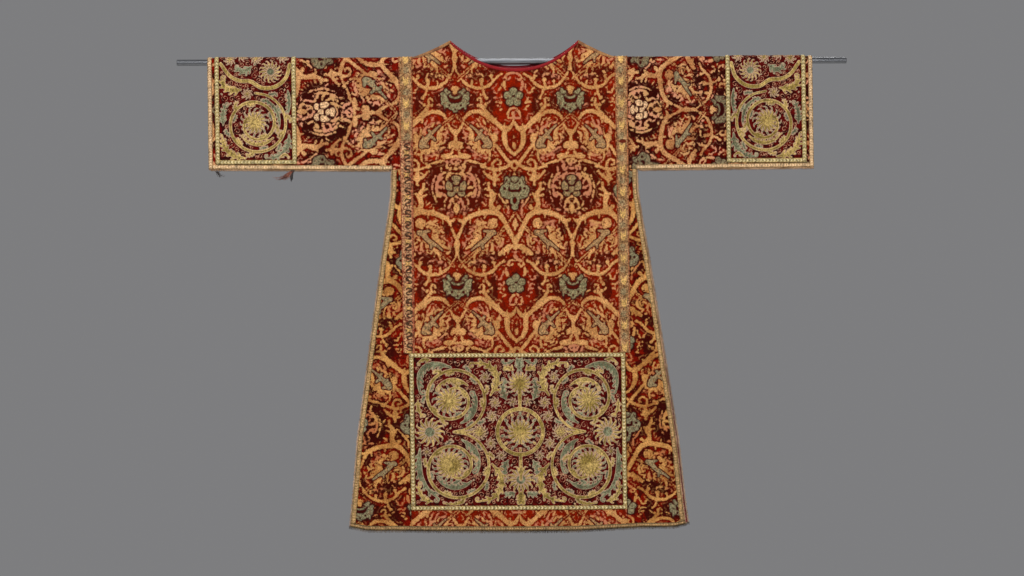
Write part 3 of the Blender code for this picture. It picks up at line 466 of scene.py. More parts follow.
PEACH_LINES = (
    # cream and peach round the pomegranates
    ((0.9, 1, 1, 0.9), 51.4, 116.4, 52.4, 111.6, 55, 108.8, Q, 107.6), (0.7, 52, 118, Q, 118),
    ((1, 0.9), Q, 117.8, Q, 112.2), ((1, 1.4, 1), 48.6, 81.7, 48.8, 86.3, 50, 90.4),
    ((0.9, 1, 0.9), Q, 73, 53, 73.6, 49.4, 77.4),
    ((0.8, 0.9, 0.8), Q - 3.2, 77.6, Q - 6, 80, Q - 7.8, 77.6, Q - 5.8, 75.4),
    ((0.6, 0.7), 38.4, 91.9, 42.2, 92.7, 43.6, 89.4), ((0.6, 0.8), 38.6, 97.8, 42.4, 97.3, 43.8, 99.2),
    ((0.7, 0.8), 40.6, 101.8, 43.6, 102.2), (0.6, 42, 105.4, 44.4, 106.4), ((0.5, 0.8), 44.6, 109.8, 47, 108.4),
    ((0.5, 0.8), 36.6, 87.3, 38.6, 89.8), ((0.5, 0.6), 45.4, 84.2, 45, 88.3),
    ((0.8, 1.2, 0.8), 0, 158.5, 2.4, 158.9, 4.6, 160), ((1.3, 1.1, 0.8), 0, 165, 0, 162.6, 0, 160.8),
    ((0.8, 1, 0.8), 0, 163.8, 3.2, 163, 4.6, 161), ((1, 1, 0.8, 0.7), 10.2, 160.4, 8, 162.8, 9, 166.2, 8.4, 169.6),
    ((0.7, 0.9, 0.7), 4.2, 166.6, 5.4, 168.6, 6.8, 170.4), ((0.6, 0.8), 6.4, 164.8, 7.2, 167.4),
    ((0.8, 1.1, 0.8), 0, 173.8, 3.2, 174.3, 5.2, 175.7),
    ((0.9, 1.4, 1.4, 0.8), 5.2, 172.4, 7.4, 174.4, 8.7, 177, 8.4, 180),
    ((0.8, 1.4, 1.3, 1.2, 1.1), 11, 172.6, 15, 175, 18, 180.6, 19.3, 188, 17.8, 195.6),
    ((1, 1.2, 0.9, 0.7), 18.4, 181.4, 15.6, 179.3, 13.2, 180.4, 11.6, 183.8),
    ((1, 1.2, 1.2), 18.6, 185.6, 14.6, 187.3, 12, 187.4), ((1, 1.2, 0.9), 18.4, 192.4, 14.4, 193.3, 10.4, 195.8),
    ((1.1, 0.8), 15.2, 193.6, 15.8, 197), ((0.6, 0.9), 11, 176, 13.6, 178),
    ((0.5, 0.8, 0.8, 0.7, 0.5), 19.6, 174.6, 22.5, 182, 23.1, 189, 21.6, 196, 19.4, 201.8),
    ((0.7, 0.9, 0.8, 0.6), 8.8, 196.2, 10.6, 199.6, 11.6, 203, 10.8, 205.8),
    ((1, 1, 1.2, 1.1, 0.9), 0, 196.3, 3, 197.8, 5, 200.4, 6.4, 204, 7.7, 208), (0.9, 4.2, 200.2, 2.2, 202.6, 0, 204),
    ((0.8, 1, 0.8), 7.4, 209.8, 4.6, 209.6, 3, 212.4), ((0.7, 1), 14.4, 167.2, 13.8, 170.6),
    ((1.5, 1.1), 8, 215.6, 7.8, 213),
    # the lower leaf
    ((0.8, 1, 1, 0.8), 24.4, 126.2, 28, 126.8, 30.2, 129.6, 29, 133.6),
    ((0.7, 1, 0.7), 7.6, 131.6, 10.4, 134.6, 13.2, 133.4), ((0.7, 0.8), 7.4, 137.8, 10.8, 136.4),
    ((1, 0.8, 0.7), 18.4, 150.6, 20.4, 152.6, 23.2, 153.8), ((0.8, 0.7), 24.4, 154.8, 29.4, 154.6),
    ((0.9, 0.7), 17.6, 155, 19.2, 158.4),
    # the upper leaf
    ((0.8, 1, 0.9, 0.8), 43.6, 235.2, 45.4, 240, 43.8, 245.4, 39.4, 247),
    ((0.9, 1, 0.9, 0.8), 17.6, 227.4, 20.6, 225.4, 25, 225, 30.4, 227.6), ((0.7, 0.9), 11.8, 233, 15, 231),
    ((0.7, 0.8, 0.7), 12.6, 234.8, 15, 236.6, 13.4, 238.2), ((0.7, 0.8), 9.6, 240, 12.4, 238.4),
    ((0.8, 0.9, 0.7), 34, 242.6, 34.8, 247, 33.2, 251.4), ((0.7, 1), 38.6, 238.4, 36, 240.4),
    ((0.7, 0.9), 7, 251.4, 9.6, 253.4),
    # flecks outside the leaves
    ((0.6, 0.7, 0.6, 0.7, 0.6), 18.6, 122.6, 24, 123.4, 26.4, 128.2, 31, 129.8, 32.8, 135, 37.2, 134.6),
    ((0.7, 0.9), 34.2, 127, 34.4, 132.2), ((0.7, 0.8), 27.6, 120.2, 29.6, 124.4), (0.7, 21.4, 117.8, 23.4, 120.8),
    (0.8, 40.6, 128.4, 41.6, 133.2), ((0.7, 0.9, 0.6), 8.6, 127.6, 8, 132, 10.8, 133.2),
    ((0.7, 0.8, 0.6), 9.6, 136.8, 10.6, 141.8, 13.6, 143.3), (0.7, 12.6, 147.1, 16.2, 150.1),
    ((0.6, 0.8), 19.4, 154.3, 24, 156.1), ((0.8, 0.8, 0.7), 28, 157.9, 33.2, 157.1, 36.4, 153.7),
    ((0.6, 0.7), 36.4, 149.3, 39.4, 152.3), ((0.7, 0.6), 31, 162.1, 33.4, 159.3),
    ((0.6, 0.8, 0.6), 5.6, 242.2, 7.8, 245.3, 6.8, 248.9), ((0.6, 0.8), 8.6, 235.5, 10.8, 238.9),
    ((0.7, 0.8), 13.2, 229, 16.8, 230.7), (0.7, 19.2, 223.9, 23.4, 225.6), (0.6, 25.6, 221.7, 30.2, 223.9),
    ((0.8, 0.9, 0.6), 38.6, 240.7, 41.4, 238.2, 44, 240.5, 42, 243.6), ((0.6, 0.8), 35.4, 245.9, 35.2, 249.8),
    ((0.6, 0.8), 29.8, 248.9, 29.6, 253.8), ((0.6, 0.8), 24.4, 252, 23, 256.7), ((0.7, 0.8), 17, 259.8, 18.2, 263.3),
    (0.6, 38.8, 247.1, 40.6, 250.3), ((0.7, 0.6), 11.6, 262.5, 11.2, 266), ((0.6, 0.7), 26, 260.5, 27.8, 263.1),
    ((0.6, 0.7), 33.4, 257.2, 36.2, 259.6), (0.6, 12, 94.2, 15.6, 95.2), (0.6, 13.4, 105, 17, 103.8),
    (0.6, 11, 88.3, 14, 89.8), (0.6, 31.4, 103.8, 34.6, 100.8), (0.5, 43.6, 185.3, 46.6, 183.3),
    ((0.8, 0.9, 0.8, 0.8), 42, 194.4, 44.8, 198.4, 47.8, 203.4, 51, 207.2), ((0.8, 0.9), 51, 207.2, 50.8, 213.6),
    ((0.8, 0.9), 50.6, 202.4, 49.4, 199.4), ((0.5, 0.6), 25.6, 202.1, 28.4, 204.8),
    ((0.5, 0.6), 26.2, 184.7, 28.6, 182.2),
)
LEAF_LINES = (
    # the lower leaf
    ((0.8, 1.1, 1.7, 2.3, 3.5, 3), 14.8, 125, 19, 128.8, 23, 132.8, 27, 137.4, 31.4, 142, 32.6, 145.2),
    ((1.4, 1.5, 1), 25.6, 136.8, 22.4, 137.2, 19.9, 139.8), ((1.2, 1.3), 23.6, 132.8, 25.8, 130.2),
    ((1.2, 0.9), 31, 139.6, 31.6, 136.6), ((1.9, 1.5), 31, 145.4, 27.2, 146.2),
    # the upper leaf
    ((2.6, 2.9, 2.4, 2, 2.4, 1.3, 0.8), 36.2, 232.4, 33, 233.4, 30.6, 237, 27.6, 240.4, 24.4, 242.8, 19.8, 245.4,
     14.4, 250), ((1.7, 0.9), 31, 231.6, 26.6, 230.8), ((1.3, 0.9), 25, 244, 25.2, 248.2),
)
NOTCH_LINES = (
    # the lower leaf
    ((1, 0.4), 11.2, 131, 14.6, 131.8), ((1, 0.4), 11, 135.8, 14.2, 136.2), ((0.9, 0.4), 11.4, 139.6, 15, 139.8),
    ((0.9, 0.4), 14.4, 147.2, 17, 145.4), ((0.8, 0.4), 18.6, 151.4, 20.8, 148.8),
    ((0.9, 0.4), 23.6, 154.4, 24.4, 151.4), ((0.9, 0.4), 29.4, 155, 29.2, 152),
    ((0.6, 0.4), 16.6, 141.4, 18.6, 143.2),
    # the upper leaf
    ((1, 0.4), 14.8, 229.6, 18.6, 231.6), ((1, 0.4), 14.4, 234.2, 18, 234.6), ((1, 0.4), 14.4, 238.8, 17.6, 237.8),
    ((0.7, 0.4), 13.4, 242.8, 15.2, 243), ((0.8, 0.4), 18.6, 226, 20.6, 228.6), ((0.9, 0.4), 22.8, 254.6, 23, 250.8),
    ((0.7, 0.4), 26.2, 252, 28, 247.6), ((0.6, 0.4), 20.6, 232.4, 23, 234.4),
)
SILVER_LINES = (
    # cream crescent and dark smiles of the silver flowers
    ((1.1, 1, 1, 1), 8.4, 89.4, 6.4, 93.6, 3.6, 96.8, 0, 97.8),
)
LINE_LINES = (
    # cream crescent and dark smiles of the silver flowers
    ((0.7, 1.6, 1.9), 7.2, 95.4, 4.8, 99.8, 0, 101.4), (0.5, 10.4, 92.1, 7.4, 95, 4, 92.5),
    ((1.4, 1.4, 1), Q, 190.8, Q - 4.8, 190.6, Q - 5.6, 187.2), (0.5, Q - 12, 184.6, Q - 8.6, 181.8, Q - 7.6, 178.6),
    ((0.6, 0.7, 0.7), Q - 3.8, 176.8, Q - 3.6, 181, Q, 183.4), ((0.9, 1.1, 0.7), 0, 185.7, 2.6, 185.5, 3.6, 183.2),
    ((0.6, 0.5), 3.2, 186.2, 2.9, 190), ((0.9, 0.9, 0.5), 3, 190.8, 5.4, 191, 9, 190.2),
    ((1.1, 0.8), 4.2, 182.2, 8.4, 179.6), (0.4, 1.4, 180.4, 3.2, 181.4),
)
CHART_LINES = {"gold": GOLD_LINES, "peach": PEACH_LINES, "leaf": LEAF_LINES, "notch": NOTCH_LINES,
               "silver": SILVER_LINES, "line": LINE_LINES}
# Discs of each layer: u and v of the centre, then the radius or both radii.
GOLD_DISCS = (
    (16.8, 81.1, 1.5), (26.5, 79.6, 2.4, 2.1), (35.8, 75.6, 2), (45.9, 74.2, 1.8), (31.2, 97.6, 2, 1.9),
    (25.6, 94.2, 1.2), (29.7, 104.4, 1.9, 1.8), (22.4, 105, 1.6), (0, 88.3, 4.2, 2.6), (0, 91.5, 2.4, 2.6),
    (26.4, 165.9, 2.5, 2.3), (29, 163.7, 1.4), (38.3, 178, 3.2, 3), (41, 179.2, 2.2, 1.6), (37.8, 184.5, 1.7, 1.6),
    (27.4, 171.2, 1.5, 1.3), (31.6, 183.5, 1.7), (36, 196.3, 3.2), (42.1, 206.8, 2.3, 2.2), (Q, 176.4, 2, 4.2),
    (Q, 180.2, 2.9, 2.3), (41.9, 254, 2.1), (Q, 164.1, 4.2, 4.6), (3.8, 144.3, 3.7, 3.2),
)
SILVER_DISCS = (
    (9.6, 98, 4.2, 5.2), (6.6, 92.9, 3, 2.4), (8.9, 90, 1.7, 1.8), (12.6, 93.5, 1.8), (7.2, 104.4, 4, 2.8),
    (3.2, 106.4, 3.4, 3.2), (0, 109.4, 2.6, 3), (0, 103.6, 2.6, 1.6), (10, 107, 1, 2.4), (12.4, 102.6, 1.2, 1.6),
    (Q, 187.6, 6.4, 5), (Q - 10.4, 190, 4.2, 5), (Q - 7.6, 183.6, 3, 5), (Q - 7.8, 178.8, 2, 2.4),
    (Q, 181.6, 7, 5.2), (Q - 5.4, 194.6, 7.4, 4.2), (Q, 201, 4.6, 6.4), (Q, 207, 3.2, 3), (Q, 100.2, 2.2, 3.4),
)
ROSE_DISCS = (
    (0, 178.1, 4.6, 2.9), (0, 182.3, 3.1, 2.7), (6.4, 185.8, 3.7, 5.3), (0, 189, 3.3, 3.5), (5.1, 193.5, 3.5, 3),
)
PEACH_DISCS = (
    (0, 168.5, 2.8, 1.2), (13.2, 209.3, 2.1, 1.2), (16.6, 122.6, 1.8, 1.2), (40.4, 132.2, 1.9, 1),
    (20.4, 221.2, 2.4, 1.1), (25.8, 222.9, 3.6, 1), (12, 147, 1.6, 1.1), (35.6, 252.8, 1.6, 1.1),
    (16.2, 261.8, 2.2, 1.3), (22.8, 260.6, 1.6, 1), (Q, 113.4, 1.9, 1.7), (Q, 250.3, 1.7, 3), (Q, 256.9, 2.2, 2.6),
    (45.6, 96.1, 0.9, 1.3), (45.4, 102.6, 0.8, 1.2), (3.6, 94.4, 0.8),
)
DARK_DISCS = (
    (0, 100.3, 23, 11.5), (35, 100.8, 4.2, 12.5), (0, 187, 30.5, 27.5), (20, 167, 9, 6), (8, 142.4, 3.4, 5.4),
    (9.4, 230.4, 4, 5), (36.6, 256, 6, 3.8), (27, 262, 5), (Q, 196.9, 18, 11), (39, 188.8, 4, 5),
    (14.6, 148.7, 4, 5), (5.4, 136.8, 2.2, 4.5), (18, 76, 6, 3.4), (30.5, 76.5, 4, 2.6), (4.4, 252.4, 2.2, 5),
    (30, 258.2, 9, 3.4), (33, 108.8, 4, 5), (Q, 174, 9, 2.6), (3.4, 69.6, 2.4, 4), (5, 224.3, 9, 2.4),
)
LINE_DISCS = (
    (Q, 200.3, 2.3, 3.5), (Q - 10, 188.5, 1.5, 1.4), (Q - 5.2, 183.4, 0.9, 1.2), (Q - 3.6, 205.4, 0.8, 1.3),
    (5.6, 105.2, 1.2, 1.4), (0, 109.2, 1, 1.3),
)
CHART_DISCS = {"gold": GOLD_DISCS, "silver": SILVER_DISCS, "rose": ROSE_DISCS, "peach": PEACH_DISCS,
               "dark": DARK_DISCS, "line": LINE_DISCS}
# Red in the gold, and gold in the red: centre, half width, half height.
CHART_DIAMONDS = {
    "hole": ((0, 122.2, 3.2, 4.6), (0, 150.7, 2.7, 2.9), (Q, 165.3, 2.2, 3), (0, 226.4, 4.6, 9), (Q, 225, 6.2, 10.8),
             (Q, 141, 4.6, 10.6), (0, 74, 2.6, 4.6)),
    "gold": ((Q, 137.4, 1.6, 2.2), (Q, 224.4, 3.3, 7.2), (0, 150, 0.8, 0.8)),
}
VASE_SEED = (Q, 145.0), (1.7, 3.4)       # its centre and radii
# The silver flower: its middle, its petals, how far out they lie and their radius.
FLOWER, PETALS, PETAL_PLACE, PETAL_RADIUS = (Q, 97.0), 5, 5.9, 3.9
SPLIT_SPAN, SPLIT_WIDTHS = (2.4, PETAL_PLACE + PETAL_RADIUS), (0.35, 0.7)
WOVEN = ("gold", "silver", "rose", "leaf", "peach")


def velvet_table():
    """The figure's layers on a fine grid of half a cell."""
    columns, rows = np.arange(0.0, HALF_CELL + CHART_STEP, CHART_STEP), np.arange(0.0, REPEAT, CHART_STEP)
    draw = Drawing(*np.meshgrid(columns, CHART_TOP + rows), CHART_REACH)
    shifts = (-REPEAT, 0.0, REPEAT)
    for shift in shifts:
        for layer, lines in CHART_LINES.items():
            for widths, *path in lines:
                draw.stroke(layer, np.reshape(path, (-1, 2)) + (0.0, shift), widths, CHART_CURVE)
        for layer, discs in CHART_DISCS.items():
            for a, b, *radii in discs:
                draw.disc(layer, (a, b + shift), radii)
        for a, b, half_u, half_v in CHART_DIAMONDS["hole"]:
            draw.diamond("hole", (a, b + shift), half_u, half_v)
        for petal in range(PETALS):
            angle = 2.0 * math.pi * petal / PETALS
            split = angle + math.pi / PETALS
            a, b = FLOWER[0], FLOWER[1] + shift
            place = (a + PETAL_PLACE * math.sin(angle), b - PETAL_PLACE * math.cos(angle))
            draw.disc("silver", place, PETAL_RADIUS)
            ends = [(a + r * math.sin(split), b - r * math.cos(split)) for r in SPLIT_SPAN]
            draw.stroke("line", ends, SPLIT_WIDTHS, 1)
    for layer, other, margin in (("silver", "line", 0.0), ("rose", "line", 0.0), ("gold", "hole", 0.0),
                                 ("gold", "notch", 0.0), ("gold", "silver", 1.0), ("gold", "rose", 1.0),
                                 ("gold", "leaf", 0.7), ("peach", "silver", 1.0), ("peach", "rose", 1.0),
                                 ("peach", "leaf", 0.7), ("peach", "gold", 0.5)):
        draw.cut(layer, other, margin)
    for shift in shifts:
        for a, b, half_u, half_v in CHART_DIAMONDS["gold"]:
            draw.diamond("gold", (a, b + shift), half_u, half_v)
        draw.disc("gold", np.add(VASE_SEED[0], (0.0, shift)), VASE_SEED[1])
    flowers = np.minimum(draw.layer("silver"), draw.layer("rose"))
    draw.layers["dark"] = np.minimum(draw.layer("dark"), flowers - DARK_RIM)
    return {name: draw.get(name) for name in (*WOVEN, "dark")}


VELVET = velvet_table()


def figure(across, down):
    """The figure's layers where across is from a silver axis and down is from the chart's zero, in units."""
    u = np.abs(np.mod(across, 2 * HALF_CELL) - HALF_CELL) / CHART_STEP
    v = np.mod(down - CHART_TOP, REPEAT) / CHART_STEP
    rows, columns = VELVET["gold"].shape
    u0, v0 = np.minimum(u.astype(int), columns - 2), v.astype(int) % rows
    fu, fv, v1 = u - u0, v - np.floor(v), (v0 + 1) % rows
    found = {}
    for name, table in VELVET.items():
        upper = table[v0, u0] * (1 - fu) + table[v0, u0 + 1] * fu
        lower = table[v1, u0] * (1 - fu) + table[v1, u0 + 1] * fu
        found[name] = upper * (1 - fv) + lower * fv
    return found


def loops(layers):
    """Height of the uncut loops over the pile's ground, from the figure."""
    return LOOP_HEIGHT * smooth(0.5 - np.minimum.reduce([layers[name] for name in WOVEN]) / LOOP_EDGE)


# ---- materials ----
def linear(code):
    """A colour of the render's file as the shader's linear one."""
    parts = [int(code[i:i + 2], 16) / 255.0 for i in (0, 2, 4)]
    return tuple(c / 12.92 if c <= 0.04045 else ((c + 0.055) / 1.055) ** 2.4 for c in parts) + (1.0,)


class Value:
    """A number that the shader works out, for sums and products."""

    def __init__(self, look, socket):
        self.look, self.socket = look, socket

    def __add__(self, other):
        return self.look.math("ADD", self, other)

    def __sub__(self, other):
        return self.look.math("SUBTRACT", self, other)

    def __mul__(self, other):
        return self.look.math("MULTIPLY", self, other)


class Look:
    """A material under construction. A colour is a value or the code of a colour."""

    def __init__(self, name, roughness, metallic=0.0, sheen=0.0, specular=0.3):
        self.material = bpy.data.materials.new(name)
        self.material.use_nodes = True
        self.nodes = self.material.node_tree.nodes
        self.links = self.material.node_tree.links
        self.shader = self.nodes["Principled BSDF"]
        for key, number in (("Roughness", roughness), ("Metallic", metallic), ("Specular IOR Level", specular),
                            ("Sheen Weight", sheen), ("Sheen Roughness", 0.45)):
            self.shader.inputs[key].default_value = number
        self.place = self.value("TexCoord", "Object", {})

    def put(self, socket, value):
        if isinstance(value, Value):
            self.links.new(value.socket, socket)
            return
        value = linear(value) if isinstance(value, str) else value
        socket.default_value = value[:3] if socket.type == "VECTOR" else value

    def value(self, kind, output, inputs, **settings):
        """The output of a new node with these inputs and settings."""
        node = self.nodes.new("ShaderNode" + kind)
        for key, setting in settings.items():
            setattr(node, key, setting)
        for key, given in inputs.items():
            self.put(node.inputs[key], given)
        return Value(self, node.outputs[output])

    def field(self, name):
        return self.value("Attribute", "Fac", {}, attribute_name=name)

    def math(self, operation, a, b=0.0):
        return self.value("Math", 0, {0: a, 1: b}, operation=operation)

    def noise(self, scale, detail=2.0, stretch=None):
        place = self.value("Mapping", 0, {"Scale": stretch, "Vector": self.place}) if stretch else self.place
        return self.value("TexNoise", "Fac", {"Scale": scale, "Detail": detail, "Vector": place})

    def ramp(self, value, low, high, start=0.0, end=1.0):
        inputs = {"Value": value, "From Min": low, "From Max": high, "To Min": start, "To Max": end}
        return self.value("MapRange", "Result", inputs, interpolation_type="SMOOTHSTEP")

    def inside(self, field, soft=0.35, edge=0.0):
        """1 where the distance is under the edge."""
        return self.ramp(field, edge - soft, edge + soft, 1.0, 0.0)

    def band(self, field, place, half):
        """1 along a contour of the distance."""
        return self.ramp(self.math("ABSOLUTE", field - place), 0.4 * half, half, 1.0, 0.0)

    def mix(self, share, a, b):
        return self.value("Mix", 2, {0: share, 6: a, 7: b}, data_type="RGBA")

    def flecks(self, colour, other, noise, low, high, share=1.0):
        """The colour, with the other one where the noise is high."""
        return self.mix(self.ramp(noise, low, high, 0.0, share), colour, other)

    def shade(self, colour, value, low, high, spread=0.24):
        """The colour times a grey from low to high, where the value lies about a half."""
        grey = self.ramp(value, 0.5 - spread, 0.5 + spread, low, high)
        return self.value("VectorMath", 0, {0: colour, "Scale": grey}, operation="SCALE")

    def finish(self, colour, height=None, distance=0.0005, strength=0.6, roughness=None):
        self.put(self.shader.inputs["Base Color"], colour)
        if roughness is not None:
            self.put(self.shader.inputs["Roughness"], roughness)
        if height is not None:
            inputs = {"Strength": strength, "Distance": distance, "Height": height}
            self.put(self.shader.inputs["Normal"], self.value("Bump", 0, inputs))
        return self.material


def velvet_look(name, crimson, maroon, gold, gold_dark, peach, silver, rose, dull, worn=0.55, halo=0.62):
    look = Look(name, 0.8, specular=0.05)
    fine, grain, mid = look.noise(620, 3), look.noise(330), look.noise(150)
    patchy, broad = look.noise(28, 3), look.noise(5.5)
    jitter = (fine - 0.5) * 1.2 + (mid - 0.5) * 2.4 + (grain - 0.5) * 3.6
    gold_at = look.field("gold") + jitter
    dark = look.inside(look.field("dark") + (mid - 0.5) * 11, 1.6, 0.6)
    pile = look.flecks(look.mix(dark, crimson, maroon), maroon, look.noise(75), 0.44, 0.60, worn)
    pile = look.shade(pile, (fine + grain) * 0.38 + broad * 0.24, 0.3, 1.55)
    pile = look.mix(look.band(gold_at, 0.9, 0.9) * 0.5, pile, maroon)
    echo = look.band(gold_at, 2.7, 0.9) * look.ramp(look.noise(95), 0.47, 0.56) * look.ramp(dark, 0, 1, 0.9, 0.3)
    light = look.flecks(peach, gold, patchy, 0.4, 0.6)
    colour = look.mix(echo * halo, pile, light)
    broken = look.field("peach") + jitter * 0.5 + look.ramp(mid, 0.5, 0.62, 0, 0.7)
    colour = look.mix(look.inside(broken, 0.5, 0.25) * 0.9, colour, light)
    metal = look.flecks(gold, gold_dark, patchy, 0.35, 0.65)
    metal = look.flecks(metal, crimson, look.noise(240), 0.55, 0.66, 0.45)
    metal = look.shade(metal, (fine + grain) * 0.5, 0.42, 1.62)
    woven = look.inside(gold_at, 0.4, -0.12)
    colour = look.mix(woven, colour, metal)
    for layer, thread, deep in (("leaf", dull, gold_dark), ("silver", silver, "6a2c14"), ("rose", rose, gold_dark)):
        at = look.field(layer) + jitter * 0.5
        colour = look.mix(look.band(at, 0.5, 0.7) * 0.8, colour, "3c1412")
        mask = look.inside(at)
        thread = look.shade(look.flecks(thread, deep, mid, 0.5, 0.66, 0.45), grain, 0.35, 1.65)
        colour = look.mix(mask, colour, thread)
        woven = look.math("MAXIMUM", woven, mask)
    return look.finish(colour, fine * 0.8 + woven * 0.5, 0.0007, 0.7, look.ramp(woven, 0, 1, 0.88, 0.58))


def embroidery_look():
    look = Look("embroidery", 0.7, specular=0.08)
    fine, grain, mid, patchy = look.noise(700, 3), look.noise(340), look.noise(160), look.noise(38)
    stitch = look.noise(420, 2, (1.0, 1.0, 0.25))
    jitter = (mid - 0.5) * 0.8 + (grain - 0.5) * 1.6
    ground = look.flecks("5e0804", "360604", look.noise(90), 0.45, 0.6)
    ground = look.shade(ground, (fine + grain) * 0.38 + patchy * 0.24, 0.26, 1.4)
    colour = look.mix(look.inside(look.field("cord") + jitter, 0.3) * 0.9, ground, "b88264")
    gold_at, green_at = look.field("gold") + jitter, look.field("green") + jitter
    for at, light, deep in ((green_at, "8e9070", "6a6e54"), (gold_at, "ccac66", "98803e")):
        thread = look.flecks(light, deep, patchy, 0.38, 0.62)
        thread = look.mix(look.band(at, -2.4, 0.8) * 0.45, thread, "5a4a24")
        thread = look.flecks(thread, "6a4426", look.noise(230), 0.54, 0.66, 0.5)
        thread = look.shade(thread, (stitch + grain) * 0.5, 0.35, 1.6)
        colour = look.mix(look.inside(at, 0.3), colour, thread)
        colour = look.mix(look.band(at, 0.1, 0.75) * 0.6, colour, "d2ac8c")
    colour = look.mix(look.inside(look.field("vein"), 0.3) * 0.8, colour, "3a1a12")
    raised = look.inside(look.math("MINIMUM", gold_at, green_at), 0.8)
    return look.finish(colour, stitch * 0.8 + raised * 0.4, 0.0006, 0.7, look.ramp(raised, 0, 1, 0.86, 0.6))


def clavus_look(name, ground, deep, thread, patch, mark, edge, speck, flecked):
    look = Look(name, 0.7, specular=0.1)
    fine, mid, patchy = look.noise(380, 3), look.noise(190), look.noise(60)
    jitter = (mid - 0.5) * 1.6
    base = look.flecks(ground, deep, patchy, 0.40, 0.60)
    base = look.mix(look.inside(look.field("patch") + jitter * 1.6, 1.4) * 0.75, base, patch)
    base = look.flecks(base, speck, look.noise(260), 0.51, 0.60, flecked)
    colour = look.mix(look.inside(look.field("thread") + jitter, 0.6) * 0.9, base, thread)
    border = look.flecks(edge, speck, look.noise(210), 0.50, 0.60)
    colour = look.mix(look.inside(look.field("edge") + jitter * 0.8, 0.6) * 0.85, colour, border)
    colour = look.shade(colour, fine * 0.6 + mid * 0.4, 0.25, 1.7)
    colour = look.mix(look.inside(look.field("mark") + jitter * 0.6) * 0.85, colour, mark)
    colour = look.mix(look.inside(look.field("worn") + jitter, 0.6), colour, speck)
    return look.finish(colour, fine + mid)


def braid_look(name, pitch, slope, light, deep, side_light, side_deep):
    """Chevrons across a braid: its field along is in metres, and across runs from -1 to 1."""
    look = Look(name, 0.55, specular=0.2)
    fine, mid = look.noise(420), look.noise(120)
    middle = look.math("ABSOLUTE", look.field("across"))
    phase = look.math("FRACT", look.field("along") * (1.0 / pitch) + middle * slope)
    stripe = look.ramp(look.math("PINGPONG", phase, 0.5) + (mid - 0.5) * 0.25, 0, 0.5)
    sides = look.flecks(side_light, side_deep, look.noise(300), 0.5, 0.62)
    rim = look.ramp(middle + (fine - 0.5) * 0.3, 0.45, 0.7) * 0.9
    colour = look.mix(rim, look.mix(stripe, light, deep), sides)
    colour = look.shade(colour, fine * 0.6 + mid * 0.4, 0.25, 1.75)
    colour = look.shade(colour, look.field("worn") * look.ramp(middle, 0.1, 0.5, 0.25, 1), 1, 0.5, 0.5)
    return look.finish(colour, stripe * 0.7 + fine * 0.6, strength=0.7)


def thread_look(name, light, deep):
    look = Look(name, 0.7, sheen=0.15)
    fine = look.noise(500)
    colour = look.flecks(light, deep, look.noise(22, 3), 0.36, 0.64)
    return look.finish(look.shade(colour, fine, 0.6, 1.4), fine, 0.0004)


def silk_look(name, colour, weave):
    look = Look(name, 0.55, sheen=0.05, specular=0.15)
    warp, weft = look.noise(weave, 1, (1.0, 1.0, 0.08)), look.noise(weave, 1, (0.08, 1.0, 1.0))
    grain = (warp + weft) * 0.35 + look.noise(7, 3) * 0.35
    return look.finish(look.shade(colour, grain, 0.55, 1.45), warp + weft, 0.0003, 0.5)


def steel_look():
    look = Look("steel", 0.32, metallic=1.0, specular=0.5)
    brushed, smudge = look.noise(60, 3, (1.0, 14.0, 14.0)), look.noise(9, 3)
    colour = look.shade("9a9ca0", brushed * 0.6 + smudge * 0.4, 0.7, 1.2)
    return look.finish(colour, brushed, 0.0001, 0.3, look.ramp(smudge, 0.3, 0.7, 0.26, 0.42))


PANEL_VELVET = velvet_look("velvet_panel", "8c1a00", "521003", "d69c60", "bc844c", "ca805c", "8a7e5a", "907650",
                           "a07c54")
SLEEVE_VELVET = velvet_look("velvet_sleeve", "7c1002", "360803", "d69f68", "b27848", "de9672", "7a6c50", "dcb084",
                            "8c7c5c", 0.8, 0.4)
GORE_VELVET = velvet_look("velvet_gore", "7a0f00", "3a0803", "d09654", "a87038", "bc7044", "82785a", "8a8468",
                          "8e7a58", 0.85, 0.5)
EMBROIDERY = embroidery_look()
CLAVUS_S = clavus_look("clavus_s", "cc9a6c", "b07c56", "c89a5a", "a47e5c", "200c06", "a45a3c", "6a140c", 0.8)
CLAVUS_LEAF = clavus_look("clavus_leaf", "b48a5e", "967048", "d4a862", "94825e", "4c2c16", "aa6640", "64200f", 0.5)
APPAREL_BRAID_LOOK = braid_look("apparel_braid", 0.0080, 0.55, "e0ce9c", "8c7240", "a88c54", "7a6034")
EDGE_BRAID_LOOK = braid_look("edge_braid", 0.0060, 0.4, "c49c6c", "a07c4c", "9a7e4c", "6e5630")
SLEEVE_EDGE_LOOK = braid_look("sleeve_edge_braid", 0.0060, 0.4, "e6c296", "bc966a", "a8865a", "7c5e3a")
CUFF_BRAID_LOOK = braid_look("cuff_braid", 0.0076, 0.55, "dac694", "94804a", "a88e58", "80683a")
FRINGE_LOOK = thread_look("fringe", "d8b088", "a27c56")
# The hem's fringe is darker than the rest: partly its own duller thread, partly painted shade for the shadow that
# falls under the hem.
HEM_FRINGE_SHADED_LOOK = thread_look("fringe_hem", "6e573a", "3c2d1c")
TUFT_LOOK = thread_look("tuft", "b4785a", "8a4c38")
TUFT_DARK_LOOK = thread_look("tuft_dark", "5c4c44", "2c2624")
BINDING_LOOK = silk_look("binding", "86161a", 900)
LINING_LOOK = silk_look("lining", "7c1420", 1500)
SHOULDER_LOOK = thread_look("shoulder_braid", "a87848", "7a4a2c")
STEEL = steel_look()


# ---- cloth ----
def steps(start, end, pitch):
    return np.linspace(start, end, max(2, int(round(abs(end - start) / pitch)) + 1))


def joined(*runs):
    """Runs of places one after the other, without the shared ones twice."""
    return np.concatenate([runs[0]] + [run[1:] for run in runs[1:]])


